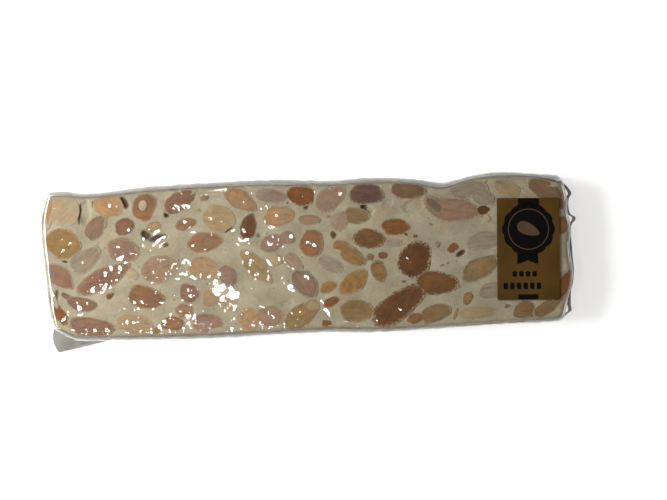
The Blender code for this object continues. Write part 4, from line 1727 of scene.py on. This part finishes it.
@dataclass(frozen=True)
class Ink:
    """Printing ink on coated paper: flat colour, satin, a little thin in places."""

    name: str
    colour: str
    worn: str
    patch: float = 2.5

    def material(self) -> bpy.types.Material:
        """Builds the finish."""
        material, tree = new_material(self.name)
        where = add(tree, "ShaderNodeTexCoord").outputs["Object"]
        thin = add(
            tree, "ShaderNodeTexNoise",
            {"Scale": scale_for(self.patch), "Detail": 4.0},
            {"Vector": where},
        )
        base = add(
            tree, "ShaderNodeMix",
            {"data_type": "RGBA", MIX_A: linear(self.colour), MIX_B: linear(self.worn)},
            {"Factor": thin.outputs[0]},
        )
        rough = add(
            tree, "ShaderNodeMapRange", {"To Min": 0.35, "To Max": 0.55}, {"Value": thin.outputs[0]}
        )
        shader = add(
            tree, "ShaderNodeBsdfPrincipled",
            {"IOR": 1.45, "Specular IOR Level": 0.06},
            {"Base Color": base.outputs[MIX_OUT], "Roughness": rough.outputs[0]},
        )
        add(tree, "ShaderNodeOutputMaterial", {}, {"Surface": shader.outputs[0]})
        return material


# ---------------------------------------------------------------- studio


@dataclass(frozen=True)
class Lamp:
    """A white rectangular lamp that points at the bar."""

    name: str
    place: tuple[float, float, float]
    size: tuple[float, float]
    power: float


@dataclass
class Studio:
    """The pale floor, soft white light and the camera straight above the bar."""

    floor_size: float = 4000.0
    floor_colour: str = "#F7F7F6"
    floor_glow: float = 0.5
    # The sky is bright low down and dark overhead, where the camera is, between these heights.
    sky: float = 0.47
    zenith: float = 0.04
    sky_ends: tuple[float, float] = (0.75, 0.94)
    lamps: tuple[Lamp, ...] = (
        Lamp("window", (-290.0, 40.0, 290.0), (240.0, 240.0), 2.5),
        Lamp("bulb", (-64.0, -64.0, 568.0), (48.0, 24.0), 0.2),
    )
    camera_over: tuple[float, float] = (9.5, 2.6)
    camera_height: float = 1400.0
    camera_turn: float = math.radians(-1.7)
    field_wide: float = 256.5
    sensor: float = 36.0

    def build(self) -> None:
        """Makes floor, lamps, world and camera, and sets how colours are shown."""
        self.make_floor()
        for lamp in self.lamps:
            self.make_lamp(lamp)
        world = bpy.data.worlds.new("studio")
        world.use_nodes = True
        world.node_tree.nodes.clear()
        way = add(world.node_tree, "ShaderNodeTexCoord").outputs["Generated"]
        parts = add(world.node_tree, "ShaderNodeSeparateXYZ", {}, {"Vector": way})
        strength = add(
            world.node_tree,
            "ShaderNodeMapRange",
            {
                "interpolation_type": "SMOOTHSTEP",
                "From Min": self.sky_ends[0],
                "From Max": self.sky_ends[1],
                "To Min": self.sky,
                "To Max": self.zenith,
            },
            {"Value": parts.outputs["Z"]},
        )
        light = add(
            world.node_tree, "ShaderNodeBackground",
            {"Color": (1, 1, 1, 1)},
            {"Strength": strength.outputs[0]},
        )
        add(world.node_tree, "ShaderNodeOutputWorld", {}, {"Surface": light.outputs[0]})
        scene = bpy.context.scene
        scene.world = world
        scene.view_settings.view_transform = "Standard"
        self.make_camera()

    def make_floor(self) -> None:
        """Makes the plain light table that the bar lies on, lit a little from below."""
        bm = bmesh.new()
        bmesh.ops.create_grid(bm, x_segments=1, y_segments=1, size=self.floor_size / 2 * MM)
        mesh = bpy.data.meshes.new("floor")
        bm.to_mesh(mesh)
        bm.free()
        material, tree = new_material("pale_floor")
        shader = add(
            tree,
            "ShaderNodeBsdfPrincipled",
            {
                "Base Color": linear(self.floor_colour),
                "Roughness": 0.8,
                "Emission Color": linear(self.floor_colour),
                "Emission Strength": self.floor_glow,
            },
        )
        add(tree, "ShaderNodeOutputMaterial", {}, {"Surface": shader.outputs[0]})
        mesh.materials.append(material)
        floor = bpy.data.objects.new("floor", mesh)
        bpy.context.scene.collection.objects.link(floor)

    def make_lamp(self, lamp: Lamp) -> None:
        """Makes one lamp, turned to the bar's middle."""
        data = bpy.data.lights.new(lamp.name, "AREA")
        data.shape = "RECTANGLE"
        data.size, data.size_y = (side * MM for side in lamp.size)
        data.energy = lamp.power
        obj = bpy.data.objects.new(lamp.name, data)
        obj.location = Vector(lamp.place) * MM
        obj.rotation_euler = (-obj.location).to_track_quat("-Z", "Y").to_euler()
        bpy.context.scene.collection.objects.link(obj)

    def make_camera(self) -> None:
        """Makes the camera, which looks straight down on the bar."""
        data = bpy.data.cameras.new("camera")
        data.sensor_width = self.sensor
        data.lens = self.sensor * self.camera_height / self.field_wide
        data.clip_start, data.clip_end = 0.01, 20.0
        camera = bpy.data.objects.new("camera", data)
        face = FILM.middle + FILM.half.z
        camera.location = Vector((*self.camera_over, face + self.camera_height)) * MM
        camera.rotation_euler = (0.0, 0.0, self.camera_turn)
        bpy.context.scene.collection.objects.link(camera)
        bpy.context.scene.camera = camera


def main() -> None:
    """Builds the bar from the inside out, then the studio."""
    logging.basicConfig(level=logging.INFO, format="%(message)s")
    nougat, roasted, film = CreamNougat(), RoastedAlmond(), ClearFilm()

    slab = NougatSlab().build(nougat)
    LOG.info("%s: %d faces", slab.name, len(slab.data.polygons))

    face = [(UPPER, SLAB.found(a.x, a.y), a) for a in FACE_ALMONDS]
    under = Scatter(SLAB, 5).fill(UNDER, (SLAB.half.x, SLAB.half.y), 20.0, 1.0)
    wall_reach = SLAB.half.z - 1.0
    walls = [
        almond
        for seed, side, half, longest in (
            (21, NEAR, SLAB.half.x, 15.0),
            (22, FAR, SLAB.half.x, 15.0),
            (23, LABEL_END, SLAB.half.y, 13.0),
            (24, FOLD_END, SLAB.half.y, 13.0),
        )
        for almond in Scatter(SLAB, seed).fill(side, (half, wall_reach), longest, 1.5)
    ]
    for name, sets in (("almonds_face", face), ("almonds_underside", under), ("almonds_sides", walls)):
        piece = AlmondBed(name, SLAB).build(sets, roasted)
        LOG.info("%s: %d almonds, %d faces", name, len(sets), len(piece.data.polygons))

    relief = FilmRelief()
    relief.gather(FACE_ALMONDS)
    envelope = FilmEnvelope().build(film, relief)
    LOG.info("%s: %d faces", envelope.name, len(envelope.data.polygons))

    black = Ink("black_ink", "#080606", "#0D0A09")
    pale = Ink("dull_gold_ink", "#514030", "#403022")
    for piece in Label().build(GoldPaper(), black, pale):
        LOG.info("%s: %d faces", piece.name, len(piece.data.polygons))

    Studio().build()


if __name__ == "__main__":
    main()
